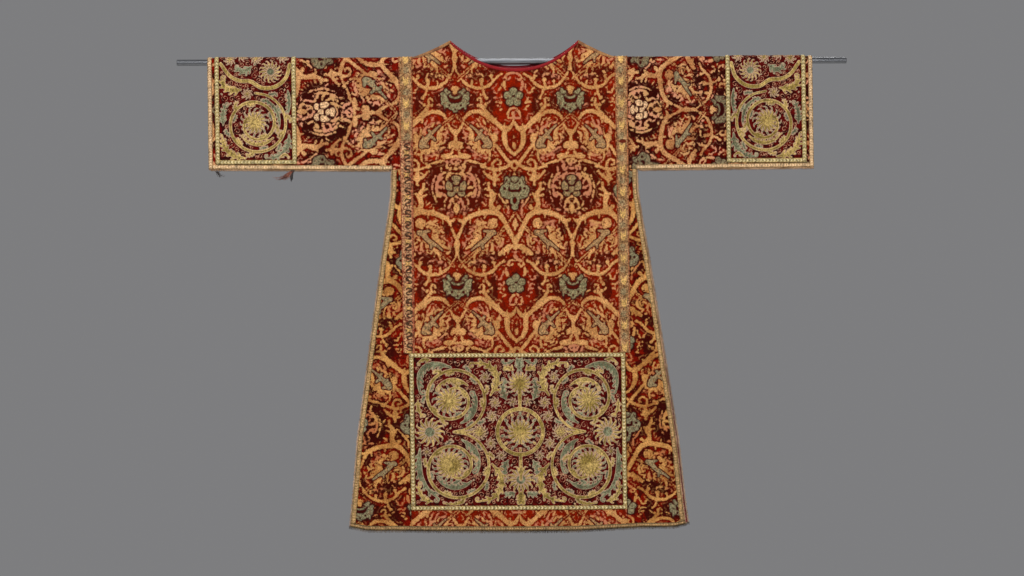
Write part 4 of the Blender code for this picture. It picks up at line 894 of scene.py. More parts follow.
LINING_ROWS, LINING_COLUMNS = 4, 5      # the lining has every fourth row and every fifth column of the velvet
LINING_OFF = 0.0001         # the lining lies this far inside the wall


def lay_cloth(node, x, s, sides, look, layers):
    """The velvet skin and the lining of one cloth piece."""
    high = CLOTH / 2 + loops(layers)
    velvet = piece(f"velvet_{node}", [skin(x, s, sides, -CLOTH / 2, high, layers)], look, [node])
    keep_rows = sorted(set(range(0, len(x), LINING_ROWS)) | {len(x) - 1})
    keep_columns = sorted(set(range(0, x.shape[1], LINING_COLUMNS)) | {x.shape[1] - 1})
    pick = np.ix_(keep_rows, keep_columns)
    kept_sides = np.broadcast_to(sides, len(x))[keep_rows]
    back = skin(x[pick], s[pick], kept_sides, 0.0, -CLOTH / 2 + LINING_OFF, rim=False)
    lining = piece(f"lining_{node}", [back], LINING_LOOK)


PANEL_AXIS = -0.0052        # the silver axis nearest the middle of the centre panels
ROSE_LEVEL = 187.8          # the rose's middle down the chart
STRIP_LEVEL, STRIP_SHIFT = -0.9, 21.0   # below this level the figure is this much lower
# On each gore: a place (column, row), the chart there (u, v), the chart's width and height, its lean.
GORE_FIT = {-1: (383.1, 456.2, 87.9, 224.4, 0.965, 0.880, -0.013), 1: (641.8, 456.4, 21.3, 225.8, 0.99, 0.888, 0.004)}
# On each sleeve: the rose axis, the chart's height, the rose's column, the chart's width, its lean.
SLEEVE_FIT = {-1: (0.1128, 1.003, 323.4, -0.99, -0.022), 1: (0.1103, 0.987, 640.0, 0.838, 0.0)}
ROD_ROW, MIDDLE_COLUMN = 61.0, 512.5
SLEEVE_RUN = 0.258          # from a sleeve's lower edge up to the rod and over its top
UNDER = 0.004               # how far the fine part of a cloth's grid reaches under an apparel
PANEL_HIDDEN, SLEEVE_HIDDEN = 0.03, 0.02    # the pitch of the cloth's grid under an apparel
SLEEVE_FRONT, SLEEVE_BACK = 0.0025, 0.0034  # and elsewhere on a sleeve
GORE_WIDTH = 0.12
NECK_BAND = (-0.03, 0.07)   # the panel's rows fit the neck down to this level, in rows over this run


def make_panel(side, pitch):
    top, low = -APPAREL_TOP - UNDER, -APPAREL_BOTTOM + UNDER
    across = steps(-SEAM_X, SEAM_X, pitch)
    levels = joined(steps(NECK_BAND[0], top, pitch), steps(top, low, PANEL_HIDDEN), steps(low, -HEM_DROP, pitch))
    share = np.linspace(0.0, 1.0, int(NECK_BAND[1] / pitch))[:-1, None]
    edge = top_length(across, side)
    s = np.concatenate([edge + share * (NECK_BAND[0] - edge), np.repeat(levels[:, None], len(across), axis=1)])
    x = np.broadcast_to(across, s.shape)
    down = ROD_ROW - s / UNIT - np.where(s < STRIP_LEVEL, STRIP_SHIFT, 0.0)
    layers = figure((x - PANEL_AXIS) / UNIT, down)
    lay_cloth(f"{WORDS[side]}_panel", x, s, side, PANEL_VELVET, layers)


def make_gore(side, hand, pitch):
    levels = steps(-UNDERARM_DROP - GAP, -HEM_DROP, pitch)[:, None]
    share = steps(0.0, GORE_WIDTH, pitch) / GORE_WIDTH
    x = SEAM_X + GAP + share * (side_edge(levels) - SEAM_X - GAP)
    s = np.broadcast_to(levels, x.shape)
    column, row, u, v, wide, tall, lean = GORE_FIT[hand]
    right, down = MIDDLE_COLUMN + hand * x / UNIT - column, ROD_ROW - s / UNIT - row
    layers = figure(u + right / wide + lean * down, v + down / tall)
    node = f"{WORDS[side]}_gore_{HANDS[hand]}"
    lay_cloth(node, hand * x, s, side, GORE_VELVET, layers)


def wrapped(x, low, front_pitch, back_pitch):
    """A grid over x from the front's lower line over the rod and down the back: x, path lengths, sides."""
    front = np.linspace(0.0, 1.0, int(SLEEVE_RUN / front_pitch))
    back = np.linspace(1.0, 0.0, int(SLEEVE_RUN / back_pitch))[1:]
    s = low + np.concatenate([front, back])[:, None] * (WRAP * np.pi / 2 - low)
    x, s = np.broadcast_arrays(x, s)
    return x, s, np.repeat((FRONT, BACK), (len(front), len(back)))


def make_sleeve(hand):
    inner, outer = CUFF_APPAREL_IN + UNDER, CUFF_APPAREL_OUT - UNDER
    out = joined(steps(SEAM_X + GAP, inner, SLEEVE_FRONT), steps(inner, outer, SLEEVE_HIDDEN),
                 steps(outer, CUFF_X, SLEEVE_FRONT))
    x, s, sides = wrapped(hand * out, sleeve_edge(out), SLEEVE_FRONT, SLEEVE_BACK)
    path = np.where(np.reshape(sides, (-1, 1)) == FRONT, -s, s - np.pi * WRAP)
    axis, tall, start, wide, lean = SLEEVE_FIT[hand]
    right = MIDDLE_COLUMN + x / UNIT - start
    layers = figure((path - axis) / (UNIT * tall) + HALF_CELL + lean * right, ROSE_LEVEL + right / wide)
    lay_cloth(f"sleeve_{HANDS[hand]}", x, s, sides, SLEEVE_VELVET, layers)


# ---- embroidery, drawn in millimetres on the right half and mirrored ----
MM = 1000.0
VINE_EYE, VINE_STEPS = 20.0, 15
VINE_LOWER, VINE_UPPER = ((146.0, -914.0), 80.0), ((149.0, -759.0), 75.0)
CUFF_VINE = ((574.5, -140.0), 70.0)
VINE_TURNS, CUFF_VINE_TURNS = 1.55, 1.9
MEDALLION, MEDALLION_RADIUS = (0.0, -834.0), 51.0
SHOOT_FIRST, SHOOT_LAST, SHOOT_PITCH = 24.0, 12.0, 31.0
STITCH_REACH, FILLS = 17.0, 150         # how far a drawing is measured, and how many gaps are filled at most
LEAST_FILL, FLOWER_FILL, CURL_FILL = 5.0, 12.5, 9.0     # the least room filled, a flower's least, a curl's most
RELIEF = ON_APPLIED[1] - ON_CLOTH[1]
STITCHED = ("gold", "green", "cord")
BOTH = (1, -1)
# A frond's half widths along it and its teeth, as shares of its width and length.
FROND_TAPER, TEETH_SPAN = (0.24, 0.50, 0.66, 0.64, 0.50, 0.34, 0.22), (0.14, 0.82)
# Heights over the ground, of 1 in all, and the bare rim that each layer leaves to the one above it.
BODY_HEIGHT, RIM_HEIGHT, VEIN_DEPTH, CORD_HEIGHT = 0.72, 0.28, 0.30, 0.65
GREEN_RIM, CORD_RIM, BORDER_RIM, BORDER_SLOPE = 0.9, 1.2, 1.5, 0.004
BEADS, RAYS = 32, 14


def ray(angle):
    return np.array([math.cos(angle), math.sin(angle)])


def polar(centre, reach, angle):
    return np.stack([centre[0] + reach * np.cos(angle), centre[1] + reach * np.sin(angle)], axis=-1)


def spiral(centre, radius, start, turns, hand, eye=VINE_EYE):
    share = np.linspace(0.0, 1.0, round(turns * VINE_STEPS) + 1)
    return polar(centre, radius - (radius - eye) * share ** 1.4, start + hand * 2.0 * np.pi * turns * share)


def around(centre, reach_in, reach_out, first, last, count=7):
    """Points on an arc whose reach changes evenly; angles in degrees."""
    return polar(centre, np.linspace(reach_in, reach_out, count), np.radians(np.linspace(first, last, count)))


def curl(draw, layer, start, way, radius, hand, half):
    """A line that leaves start along way and winds up to one side."""
    centre = start + hand * radius * np.array([-math.sin(way), math.cos(way)])
    angle = way - hand * 0.5 * np.pi + hand * 5.4 * np.linspace(0.0, 1.0, 9)
    reach = radius * np.linspace(1.0, 0.26, 9)
    draw.stroke(layer, polar(centre, reach, angle), (half, 0.7 * half, 0.85 * half), 2)


def heading(run):
    return math.atan2(run[1], run[0])


def frond(draw, layer, path, width, teeth=5, sides=(1,), wind=0):
    """A long leaf along a path: hooked teeth on the given sides, a curl at its tip, veins inside."""
    line = curved(path, 8)
    count = len(line)
    widths = tuple(width * v for v in FROND_TAPER)
    draw.stroke(layer, line[::max(1, count // 12)], widths, 3)
    for hand in sides:
        for share in np.linspace(*TEETH_SPAN, teeth):
            place = int(share * (count - 1))
            way = heading(line[min(place + 1, count - 1)] - line[place - 1])
            reach = width * (1.75 - 0.65 * share)
            out = ray(way + 0.9 * hand)
            tip = line[place] + reach * out
            hook = tip + 0.42 * width * ray(way - 0.5 * hand)
            draw.stroke(layer, (line[place], tip, hook), (0.40 * width, 0.22 * width, 0.07 * width), 3)
            draw.stroke("vein", (line[place] + 0.1 * reach * out, line[place] + 0.7 * reach * out), (0.45, 0.15), 2)
    way = heading(line[-1] - line[-3])
    curl(draw, layer, line[-1] - 0.3 * width * ray(way), way, 0.75 * width, wind or -sides[0], 0.24 * width)
    draw.stroke("vein", line[count // 10:int(0.86 * count):3], (0.25, 0.55, 0.2), 2)


def leaf(draw, layer, foot, angle, length, width, bend, teeth=3):
    """A short leaf that bends from its foot and ends in a curl."""
    turn = angle + bend * np.linspace(0.0, 1.0, 7)
    spine = np.asarray(foot) + np.cumsum(polar((0.0, 0.0), 1.0, turn), axis=0) * length / 8.0
    frond(draw, layer, spine, width, teeth, BOTH, 1 if bend > 0 else -1)


def flower(draw, centre, radius, petals, phase, inner="gold", outer="green", hand=1):
    """Two rings of petals with hooked tips round a seeded middle."""
    def at(angle, share):
        return centre + share * radius * ray(angle)

    count = round(1.6 * petals)
    for layer, first, reach, half, turn in ((outer, 0.45, 1.12, 0.085, 0.5), (inner, 0.15, 0.84, 0.095, 0.0)):
        for index in range(count):
            angle = phase + 2.0 * np.pi * (index + turn) / count
            split = angle + np.pi / count
            petal = (at(angle, first), at(angle + 0.03 * hand, 0.7 * reach), at(angle + 0.12 * hand, 0.96 * reach),
                     at(angle + 0.32 * hand, reach))
            halves = (0.7 * half * radius, half * radius, 0.5 * half * radius, 0.012 * radius)
            draw.stroke(layer, petal, halves, 3)
            draw.stroke("vein", (at(split, first + 0.1), at(split, 0.8 * reach)), (0.5, 0.8), 2)
    draw.disc(inner, centre, 0.26 * radius)
    for index in range(9):
        draw.disc("vein", at(phase + 2.0 * np.pi * index / 9.0, 0.22), 0.8)


def fill_gaps(draw, room, seed):
    """Leaves and curls of cord where the ground is still bare; room is the distance to the border."""
    chance = np.random.default_rng(seed)
    free = np.minimum.reduce([draw.layer(name) for name in STITCHED] + [room])
    for _ in range(FILLS):
        best = int(np.argmax(free))
        size = float(min(free[best], 16.0))
        if size < LEAST_FILL:
            return
        centre = draw.points[best]
        angle, hand = chance.uniform(0.0, 2.0 * np.pi), float(chance.choice((-1, 1)))
        way = ray(angle)
        if size > FLOWER_FILL:
            flower(draw, centre, 0.78 * size, 5, angle, "gold", "green", hand)
        else:
            reach = min(size, CURL_FILL)
            draw.stroke("cord", spiral(centre, 0.86 * reach, angle, 1.35, hand, 0.16 * reach), (0.45, 0.75, 0.9), 2)
            ends = (centre + 0.86 * reach * way, centre + (1.0 + 0.06 * size) * reach * way)
            draw.stroke("cord", ends, (0.6, 0.4), 2)
            if size > 7.5:
                draw.disc("gold" if hand > 0 else "green", centre + 1.25 * reach * way, (2.2, 1.5), angle)
        near = draw.near(centre, centre, 3.0 * size + draw.far)
        free[near] = np.minimum.reduce([draw.layer(name)[near] for name in STITCHED] + [room[near]])


def embroider(x, z, room, draw_main, seed):
    """Layers and relief of an embroidered piece at points given in metres."""
    draw = Drawing(np.abs(x) * MM, z * MM, STITCH_REACH)
    for name in (*STITCHED, "vein"):
        draw.layer(name)
    draw_main(draw)
    fill_gaps(draw, np.ravel(room) * MM - BORDER_RIM, seed)
    layers = {name: draw.get(name) for name in (*STITCHED, "vein")}
    layers["green"] = np.maximum(layers["green"], GREEN_RIM - layers["gold"])
    body = np.minimum(layers["gold"], layers["green"])
    layers["cord"] = np.maximum(layers["cord"], CORD_RIM - body)
    height = BODY_HEIGHT * smooth(0.5 - body / 1.4) + RIM_HEIGHT * bump(body - 0.1, 1.0)
    height -= VEIN_DEPTH * smooth(0.5 - layers["vein"] / 0.8) * (body < 0)
    height = np.maximum(height, CORD_HEIGHT * smooth(0.5 - layers["cord"] / 1.1))
    return layers, RELIEF * height * smooth(room / BORDER_SLOPE)


def vine(draw, path):
    """A stem with short toothed leaves on both of its sides by turns."""
    draw.stroke("gold", path, (2.4, 3.2, 3.4, 3.2, 2.8), 4)
    draw.stroke("vein", path, (0.3, 0.4, 0.3), 3)
    line = curved(path, 4)
    reach = np.concatenate([[0.0], np.cumsum(np.linalg.norm(np.diff(line, axis=0), axis=1))])
    for index, place in enumerate(np.arange(SHOOT_FIRST, reach[-1] - SHOOT_LAST, SHOOT_PITCH)):
        here = int(np.searchsorted(reach, place))
        run = (line[here] - line[here - 1]) / np.linalg.norm(line[here] - line[here - 1])
        hand = 1 if index % 2 else -1
        out = hand * np.array([-run[1], run[0]])
        shoot = (line[here], line[here] + 5.5 * out + 4.5 * run, line[here] + 9.0 * out + 11.0 * run,
                 line[here] + 9.5 * out + 18.0 * run)
        frond(draw, "gold" if index % 4 > 1 else "green", shoot, 3.8, 4, BOTH, -hand)


def draw_apparel(draw):
    (lower, low_radius), (upper, up_radius) = VINE_LOWER, VINE_UPPER
    meet = heading(np.subtract(upper, lower))
    vine(draw, spiral(lower, low_radius, meet, VINE_TURNS, 1))
    vine(draw, spiral(upper, up_radius, meet + math.pi, VINE_TURNS, -1))
    for entry in (((156, -908), 35, 11, 0.2), ((157, -764), 33, 9, 0.9, "gold", "green", -1),
                  ((200, -834), 29, 9, 0.1, "green", "gold"), ((91, -834), 17, 8, 0.3, "gold", "green", -1)):
        flower(draw, *entry)
    draw.stroke("gold", ((106, -834), (147, -834)), (1.8, 2.4))
    for entry in (
        ("green", around((149, -911), 62, 54, 108, 196), 8.5, 6, (1,), 1),
        ("green", around((150, -911), 52, 44, 220, 322), 7, 5, (1,), 1),
        ("green", around((149, -761), 56, 50, -108, -200), 8, 6, (-1,), -1),
        ("gold", around((151, -762), 48, 42, -222, -325), 6.5, 5, (-1,), -1),
        ("green", ((152, -689), (176, -682), (201, -684), (219, -700), (223, -725), (219, -748)), 9, 7, (-1,), -1),
        ("gold", ((196, -672), (212, -671), (225, -680)), 5, 3, (-1,), -1),
        ("gold", ((66, -752), (52, -728), (54, -700), (76, -682), (108, -679)), 8.5, 6, BOTH, -1),
        ("green", ((30, -762), (38, -740), (32, -716)), 6.5, 4, BOTH, -1),
        ("gold", ((64, -906), (46, -930), (45, -958), (62, -982), (98, -991)), 8, 6, BOTH, 1),
        ("green", ((28, -898), (38, -918), (32, -944)), 6.5, 4, BOTH, 1),
        ("green", ((222, -872), (224, -900), (221, -932), (207, -960), (182, -984)), 8.5, 7, (1,), 1),
        ("gold", ((196, -990), (212, -985), (224, -968), (226, -948)), 6, 4, BOTH, 1),
        ("gold", ((225, -762), (224, -784), (214, -800)), 5.5, 3, BOTH, -1),
        ("green", ((12, -672), (30, -682), (40, -676)), 5, 3, (1,), 1),
        ("gold", ((128, -993), (150, -996), (172, -995)), 4.2, 4, (1,), 1),
    ):
        frond(draw, *entry)
    angle = np.linspace(-0.5 * np.pi + 0.006, 1.5 * np.pi - 0.006, 49)
    draw.stroke("gold", polar(MEDALLION, MEDALLION_RADIUS, angle), 4.2, 2)
    for index in range(BEADS):
        draw.disc("vein", MEDALLION + MEDALLION_RADIUS * ray(2 * np.pi * index / BEADS), 1.1)
    for index in range(RAYS):
        way = ray(2 * np.pi * (index + 0.5) / RAYS)
        ends = (MEDALLION + 38.0 * way, MEDALLION + 45.0 * way)
        draw.stroke("green" if index % 2 else "gold", ends, (1.0, 3.2, 0.6))
    flower(draw, MEDALLION, 33, 9, 0.5 * np.pi)
    for sign, level, first, second in ((1, -724, "gold", "green"), (-1, -941, "green", "gold")):
        up = 0.5 * np.pi * sign
        draw.stroke("gold", ((0, MEDALLION[1] + sign * (MEDALLION_RADIUS + 3)), (0, level)), (3.0, 4.2, 3.0))
        flower(draw, (0, level), 28, 9, up, first, second, sign)
        leaf(draw, second, (0, level + sign * 24), up, 34, 7, 0.01, 4)
        leaf(draw, first, (11, level + sign * 26), up - 0.8 * sign, 30, 5.5, -0.9 * sign, 3)


def draw_cuff(draw):
    centre, radius = CUFF_VINE
    vine(draw, spiral(centre, radius, 0.5 * np.pi, CUFF_VINE_TURNS, 1))
    flower(draw, np.add(centre, (2, 4)), 29, 9, 0.4)
    wave = ((497, -6), (506, -36), (530, -56), (560, -58), (584, -44), (610, -42), (632, -30), (651, -4))
    draw.stroke("gold", wave, (3.6, 4.2, 4.2, 3.6), 4)
    flower(draw, (540, -22), 22, 9, 0.3, "green", "gold", -1)
    for entry in (
        ("green", around(centre, 59, 51, 106, 200), 5.5, 6, (1,), 1),
        ("gold", around(centre, 49.5, 42, 218, 318), 6, 6, (1,), 1),
        ("green", ((502, -64), (499, -92), (502, -118)), 6, 5, (1,), 1),
        ("green", ((500, -164), (504, -190), (524, -212), (552, -217)), 7, 6, BOTH, 1),
        ("gold", ((598, -217), (626, -210), (645, -190), (650, -164)), 7.5, 6, BOTH, -1),
        ("green", ((647, -142), (648, -118), (640, -92)), 6, 5, BOTH, 1),
        ("gold", ((606, -62), (626, -64), (645, -54), (650, -34)), 7.5, 5, BOTH, 1),
        ("green", ((582, -10), (600, -22), (618, -14)), 7, 4, BOTH, 1),
        ("gold", ((522, -216), (510, -208), (500, -214)), 4, 3, (1,), 1),
    ):
        frond(draw, *entry)


def make_apparel(side, pitch):
    z, x = np.meshgrid(steps(-APPAREL_TOP, -APPAREL_BOTTOM, pitch), steps(-SEAM_X, SEAM_X, pitch), indexing="ij")
    room = np.minimum(SEAM_X - np.abs(x), np.minimum(-APPAREL_TOP - z, z + APPAREL_BOTTOM)) - APPAREL_BRAID
    layers, height = embroider(x, z, room, draw_apparel, APPAREL_SEED)
    word = WORDS[side]
    nodes = [f"{word}_{part}" for part in ("apparel", "vine_left", "vine_right", "medallion", "rosette")]
    cloth = skin(x, z, side, ON_CLOTH[0], ON_CLOTH[1] + height, layers)
    item = piece(f"embroidery_{word}", [cloth], EMBROIDERY, nodes)


def make_cuff_apparel(hand, pitch):
    out = steps(CUFF_APPAREL_IN, CUFF_APPAREL_OUT, pitch)
    x, s, sides = wrapped(hand * out, -CUFF_APPAREL_DROP, pitch, 1.3 * pitch)
    room = np.minimum(np.minimum(np.abs(x) - CUFF_APPAREL_IN, CUFF_APPAREL_OUT - np.abs(x)), s + CUFF_APPAREL_DROP)
    layers, height = embroider(x, s, room - APPAREL_BRAID, draw_cuff, CUFF_SEED)
    word = HANDS[hand]
    nodes = [f"cuff_{part}_{word}" for part in ("apparel", "vine_front", "vine_back")]
    cloth = skin(x, s, sides, ON_CLOTH[0], ON_CLOTH[1] + height, layers)
    item = piece(f"embroidery_cuff_{word}", [cloth], EMBROIDERY, nodes)


# ---- upright bands, charted in millimetres ----
S_MARK = ((-5.4, -3.0), (-6.0, -6.0), (-2.8, -7.6), (3.0, -6.8), (5.6, -3.8), (4.0, -0.4), (-2.8, 1.0), (-5.6, 3.8),
          (-3.6, 6.8), (2.2, 7.2), (5.6, 5.0))
CLAVUS_REPEAT, CLAVUS_START, CLAVUS_REACH = 50.0, 7.0, 6.0
CLAVUS_COLUMNS, CLAVUS_PITCH = 18, 0.0017
UPPER_BACK_PITCH, LOWER_BACK_PITCH = 0.0024, 0.0026
# The relief of the threads and the edge, and the edge's ripple in millimetres and radians a metre.
THREAD_RISE, EDGE_RISE, RIPPLE, RIPPLES, FAR = 0.0006, 0.0005, 0.6, 900.0, 6.0
# The worn place at the joint of the right bands: x, level, half width, half height.
WORN_PLACE = (0.2441, -0.1812, 0.0085, 0.0040)


def draw_scroll(draw, top):
    """One repeat of the left band's scroll, from top down."""
    for start, sign in ((0.0, 1.0), (25.0, -1.0)):
        draw.stroke("mark", [(sign * a - 1.6, b + top + start) for a, b in S_MARK], (0.9, 1.8, 2.0, 1.6, 0.8), 3)
        draw.disc("mark", (1.6 * sign - 1.6, top + start - 2.6), 1.5)
        draw.disc("mark", (5.2, top + start + 11.0 * sign), (0.8, 1.3))
        draw.disc("mark", (-6.4, top + start + 8.0), (1.0, 1.4))
    for turn in (-1.0, 1.0):
        path = ((-6.0 * turn, top + 7.0), (0.0, top + 12.5), (5.0 * turn, top + 18.5))
        draw.stroke("thread", path, (1.2, 2.8, 1.2))
    draw.disc("patch", (-1.0, top + 37.5), (5.5, 7.0))


def draw_leaves(draw, top):
    """One repeat of the other bands' leaves, from top down."""
    for tip_x, tip_y, wide in ((-6.0, -8.0, 2.6), (0.0, -5.0, 2.0), (5.6, -10.0, 2.8)):
        draw.stroke("thread", ((0.4, top + 10.0), (0.5 * tip_x, top + 3.0), (tip_x, top + tip_y)), (2.2, wide, 0.9))
    draw.stroke("thread", ((-6.5, top + 4.0), (-3.0, top + 9.0)), (0.8, 1.2))
    turn = np.linspace(0.4, 5.6, 9)
    for ring_x, ring_y in ((0.5, 15.5), (2.6, 37.5)):
        ring = np.stack([ring_x + 3.0 * np.cos(turn), top + ring_y + 2.7 * np.sin(turn)], -1)
        draw.stroke("mark", ring, (0.5, 0.8, 0.5), 2)
    draw.disc("patch", (-1.5, top + 26.5), (6.5, 8.0))
    for spot_x, spot_y in ((-4.5, 20.5), (-5, 33), (4.5, 27), (-2, 27.5), (6.5, 16), (-7, 12), (7, 42)):
        draw.disc("mark", (spot_x, top + spot_y), (0.8, 1.1))


def clavus_layers(x, s, scroll):
    """Layers of an upright band, in millimetres, repeating along it."""
    across = (np.abs(x) - SEAM_X) * MM
    half = clavus_half(np.minimum(s, 0.0)) * MM
    draw = Drawing(across, np.mod(CLAVUS_START - s * MM, CLAVUS_REPEAT), CLAVUS_REACH)
    for top in (-CLAVUS_REPEAT, 0.0, CLAVUS_REPEAT):
        (draw_scroll if scroll else draw_leaves)(draw, top)
    layers = {name: draw.get(name) for name in ("thread", "patch", "mark")}
    margin, middle = (3.4, 1.2) if scroll else (2.8, 0.0)
    layers["edge"] = half - margin - np.abs(across - middle)
    return layers


def lay_clavus(name, node, x, s, sides, scroll):
    x, s = np.broadcast_arrays(x, s)
    layers = clavus_layers(x, s, scroll)
    off = np.hypot((x - WORN_PLACE[0]) / WORN_PLACE[2], (s - WORN_PLACE[1]) / WORN_PLACE[3]) - 1.0
    layers["worn"] = np.where(np.reshape(sides, (-1, 1)) == FRONT, np.minimum(4.0 * off, FAR), FAR)
    layers["edge"] = layers["edge"] + RIPPLE * np.sin(s * RIPPLES)
    raised = np.minimum(layers["thread"], layers["mark"] + 0.3)
    high = ON_CLOTH[1] + THREAD_RISE * smooth(0.5 - raised / 1.5) + EDGE_RISE * smooth(0.5 - layers["edge"] / 1.5)
    look = CLAVUS_S if scroll else CLAVUS_LEAF
    item = piece(name, [skin(x, s, sides, ON_CLOTH[0], high, layers)], look, [node])


def make_clavi(hand):
    word, top, across = HANDS[hand], WRAP * np.pi / 2, np.linspace(-1.0, 1.0, CLAVUS_COLUMNS)
    front, back = steps(-CLAVUS_JOINT, top, CLAVUS_PITCH), steps(top, -CLAVUS_JOINT, UPPER_BACK_PITCH)[1:]
    s = np.concatenate([front, back])[:, None]
    sides = np.repeat((FRONT, BACK), (len(front), len(back)))
    x = hand * (SEAM_X + clavus_half(np.minimum(s, 0.0)) * across)
    name = f"clavus_upper_{word}"
    lay_clavus(name + "_band", name, x, s, sides, False)
    for side, pitch in ((FRONT, CLAVUS_PITCH), (BACK, LOWER_BACK_PITCH)):
        s = steps(-CLAVUS_JOINT - GAP, -APPAREL_TOP + GAP, pitch)[:, None]
        x = hand * (SEAM_X + clavus_half(s) * across)
        name = f"clavus_{WORDS[side]}_{word}"
        lay_clavus(name + "_band", name, x, s, side, hand < 0)


# ---- braids ----
ACROSS = np.linspace(0.0, 1.0, 7)
WEAVE_HEIGHT, WEAVE_PITCH, ROUNDING = 0.00012, 0.0047, 0.0004


def strip(x, s, sides, layer, along_rows, worn=0.0):
    """A braid over a grid; along_rows says that it runs from row to row."""
    x, s = np.broadcast_arrays(x, s)
    rows, columns = x.shape
    points = on_sides(x, s, sides, layer[1])
    middle = points[:, columns // 2] if along_rows else points[rows // 2]
    along = np.concatenate([[0.0], np.cumsum(np.linalg.norm(np.diff(middle, axis=0), axis=-1))])
    across = np.linspace(-1.0, 1.0, columns if along_rows else rows)
    if along_rows:
        along = along[:, None]
    else:
        across = across[:, None]
    weave = WEAVE_HEIGHT * np.sin(2.0 * np.pi * (along / WEAVE_PITCH + 0.5 * np.abs(across)))
    high = layer[1] - ROUNDING * across ** 4 + weave
    return skin(x, s, sides, layer[0], high, {"along": along, "across": across, "worn": worn})


def make_body_braids(side, pitch):
    word = WORDS[side]
    width = steps(-SEAM_X, SEAM_X, pitch)
    height = steps(-APPAREL_TOP - APPAREL_BRAID, -APPAREL_BOTTOM + APPAREL_BRAID, pitch)
    strips = [strip(width, (-top - APPAREL_BRAID * ACROSS)[:, None], side, ON_APPLIED, False)
              for top in (APPAREL_TOP, APPAREL_BOTTOM - APPAREL_BRAID)]
    inner = SEAM_X - APPAREL_BRAID
    strips += [strip(hand * (inner + APPAREL_BRAID * ACROSS), height[:, None], side, ON_APPLIED, True)
               for hand in (-1, 1)]
    piece(f"braid_{word}_apparel", strips, APPAREL_BRAID_LOOK, [f"{word}_apparel_braid"])
    s = steps(-UNDERARM_DROP - GAP, -HEM_DROP + EDGE_BRAID, pitch)[:, None]
    strips = [strip(hand * (side_edge(s) - EDGE_BRAID + EDGE_BRAID * ACROSS), s, side, ON_CLOTH, True)
              for hand in (-1, 1)]
    s = (-HEM_DROP + EDGE_BRAID * (1.0 - ACROSS))[:, None]
    x = side_edge(s) * np.linspace(-1.0, 1.0, len(steps(-HEM_REACH, HEM_REACH, pitch)))
    strips.append(strip(x, s, side, ON_CLOTH, False, 1.0))
    piece(f"braid_{word}_edge", strips, EDGE_BRAID_LOOK, [f"{word}_edge_braid"])


def make_cuff_braids(hand, pitch):
    word = HANDS[hand]
    strips = []
    for start in (CUFF_APPAREL_IN, CUFF_APPAREL_OUT - APPAREL_BRAID):
        x, s, sides = wrapped(hand * (start + APPAREL_BRAID * ACROSS), -CUFF_APPAREL_DROP, pitch, pitch)
        strips.append(strip(x, s, sides, ON_APPLIED, True))
    out = hand * steps(CUFF_APPAREL_IN + APPAREL_BRAID, CUFF_APPAREL_OUT - APPAREL_BRAID, pitch)
    s = (-CUFF_APPAREL_DROP + APPAREL_BRAID * (1.0 - ACROSS))[:, None]
    strips += [strip(out, s, side, ON_APPLIED, False) for side in (FRONT, BACK)]
    piece(f"braid_cuff_apparel_{word}", strips, CUFF_BRAID_LOOK, [f"cuff_apparel_braid_{word}"])
    out = CUFF_X - EDGE_BRAID + EDGE_BRAID * ACROSS
    x, s, sides = wrapped(hand * out, sleeve_edge(out), pitch, pitch)
    strips = [strip(x, s, sides, ON_CLOTH, True)]
    out = steps(UNDERARM_X, CUFF_X - EDGE_BRAID, pitch)
    s = sleeve_edge(out) + EDGE_BRAID * (1.0 - ACROSS[:, None])
    strips += [strip(hand * out, s, side, ON_CLOTH, False) for side in (FRONT, BACK)]
    piece(f"braid_cuff_edge_{word}", strips, SLEEVE_EDGE_LOOK, [f"cuff_edge_braid_{word}"])


# ---- neck and shoulders ----
NECK_STATIONS, SHOULDER_STATIONS, SHOULDER_CROWN = 131, 30, 0.0003


def profile_rings(xs, profile):
    """Closed rings, one for each x, through points given as (s, side, off) for all x."""
    return np.stack([spot(xs, s, side, off) for s, side, off in profile], axis=1)[None]


def make_neck_binding(side):
    low = CLOTH / 2 + GAP
    xs = np.linspace(-NECK_X, NECK_X, NECK_STATIONS)
    top = top_length(xs, side)
    rows = ((-FOLD_OVER, low), (-FOLD_OVER, low + 0.7 * BRAID), (-0.5 * FOLD_OVER, low + 1.2 * BRAID),
            (0.0, low + BRAID), (GAP + 0.7 * BRAID, 0.6 * low), (GAP + BRAID, 0.0), (GAP + 0.7 * BRAID, -0.7 * low),
            (GAP, -CLOTH / 2), (GAP, low))
    rings = profile_rings(xs, [(top + rise, side, off) for rise, off in rows])
    item = tubes(f"binding_neck_{WORDS[side]}", rings, BINDING_LOOK)
    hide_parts(f"neck_binding_{WORDS[side]}")


def make_shoulder_braid(hand):
    low, high = CLOTH / 2 + GAP, CLOTH / 2 + GAP + BRAID
    xs = np.sort(hand * np.linspace(NECK_X + GAP, SEAM_X - CLAVUS_TOP_HALF - 2 * GAP, SHOULDER_STATIONS))
    angle, top = tilt(xs), top_length(xs, FRONT)
    rise_low, rise_high = ((rise + (0.5 * CLOTH - off) * np.sin(angle)) / np.maximum(np.cos(angle), 0.05)
                           for rise, off in ((GAP, low), (GAP + BRAID, high)))
    foot, half = top - FOLD_OVER, top - 0.5 * FOLD_OVER
    front = [(foot, low), (foot, high), (half, high + SHOULDER_CROWN), (top + rise_high, high)]
    profile = [(s, FRONT, off) for s, off in front] + [(s, BACK, off) for s, off in front[::-1]]
    profile += [(half, BACK, low), (top + rise_low, BACK, low), (top + rise_low, FRONT, low), (half, FRONT, low)]
    item = tubes(f"binding_shoulder_{HANDS[hand]}", profile_rings(xs, profile), SHOULDER_LOOK)
    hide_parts(f"shoulder_braid_{HANDS[hand]}")


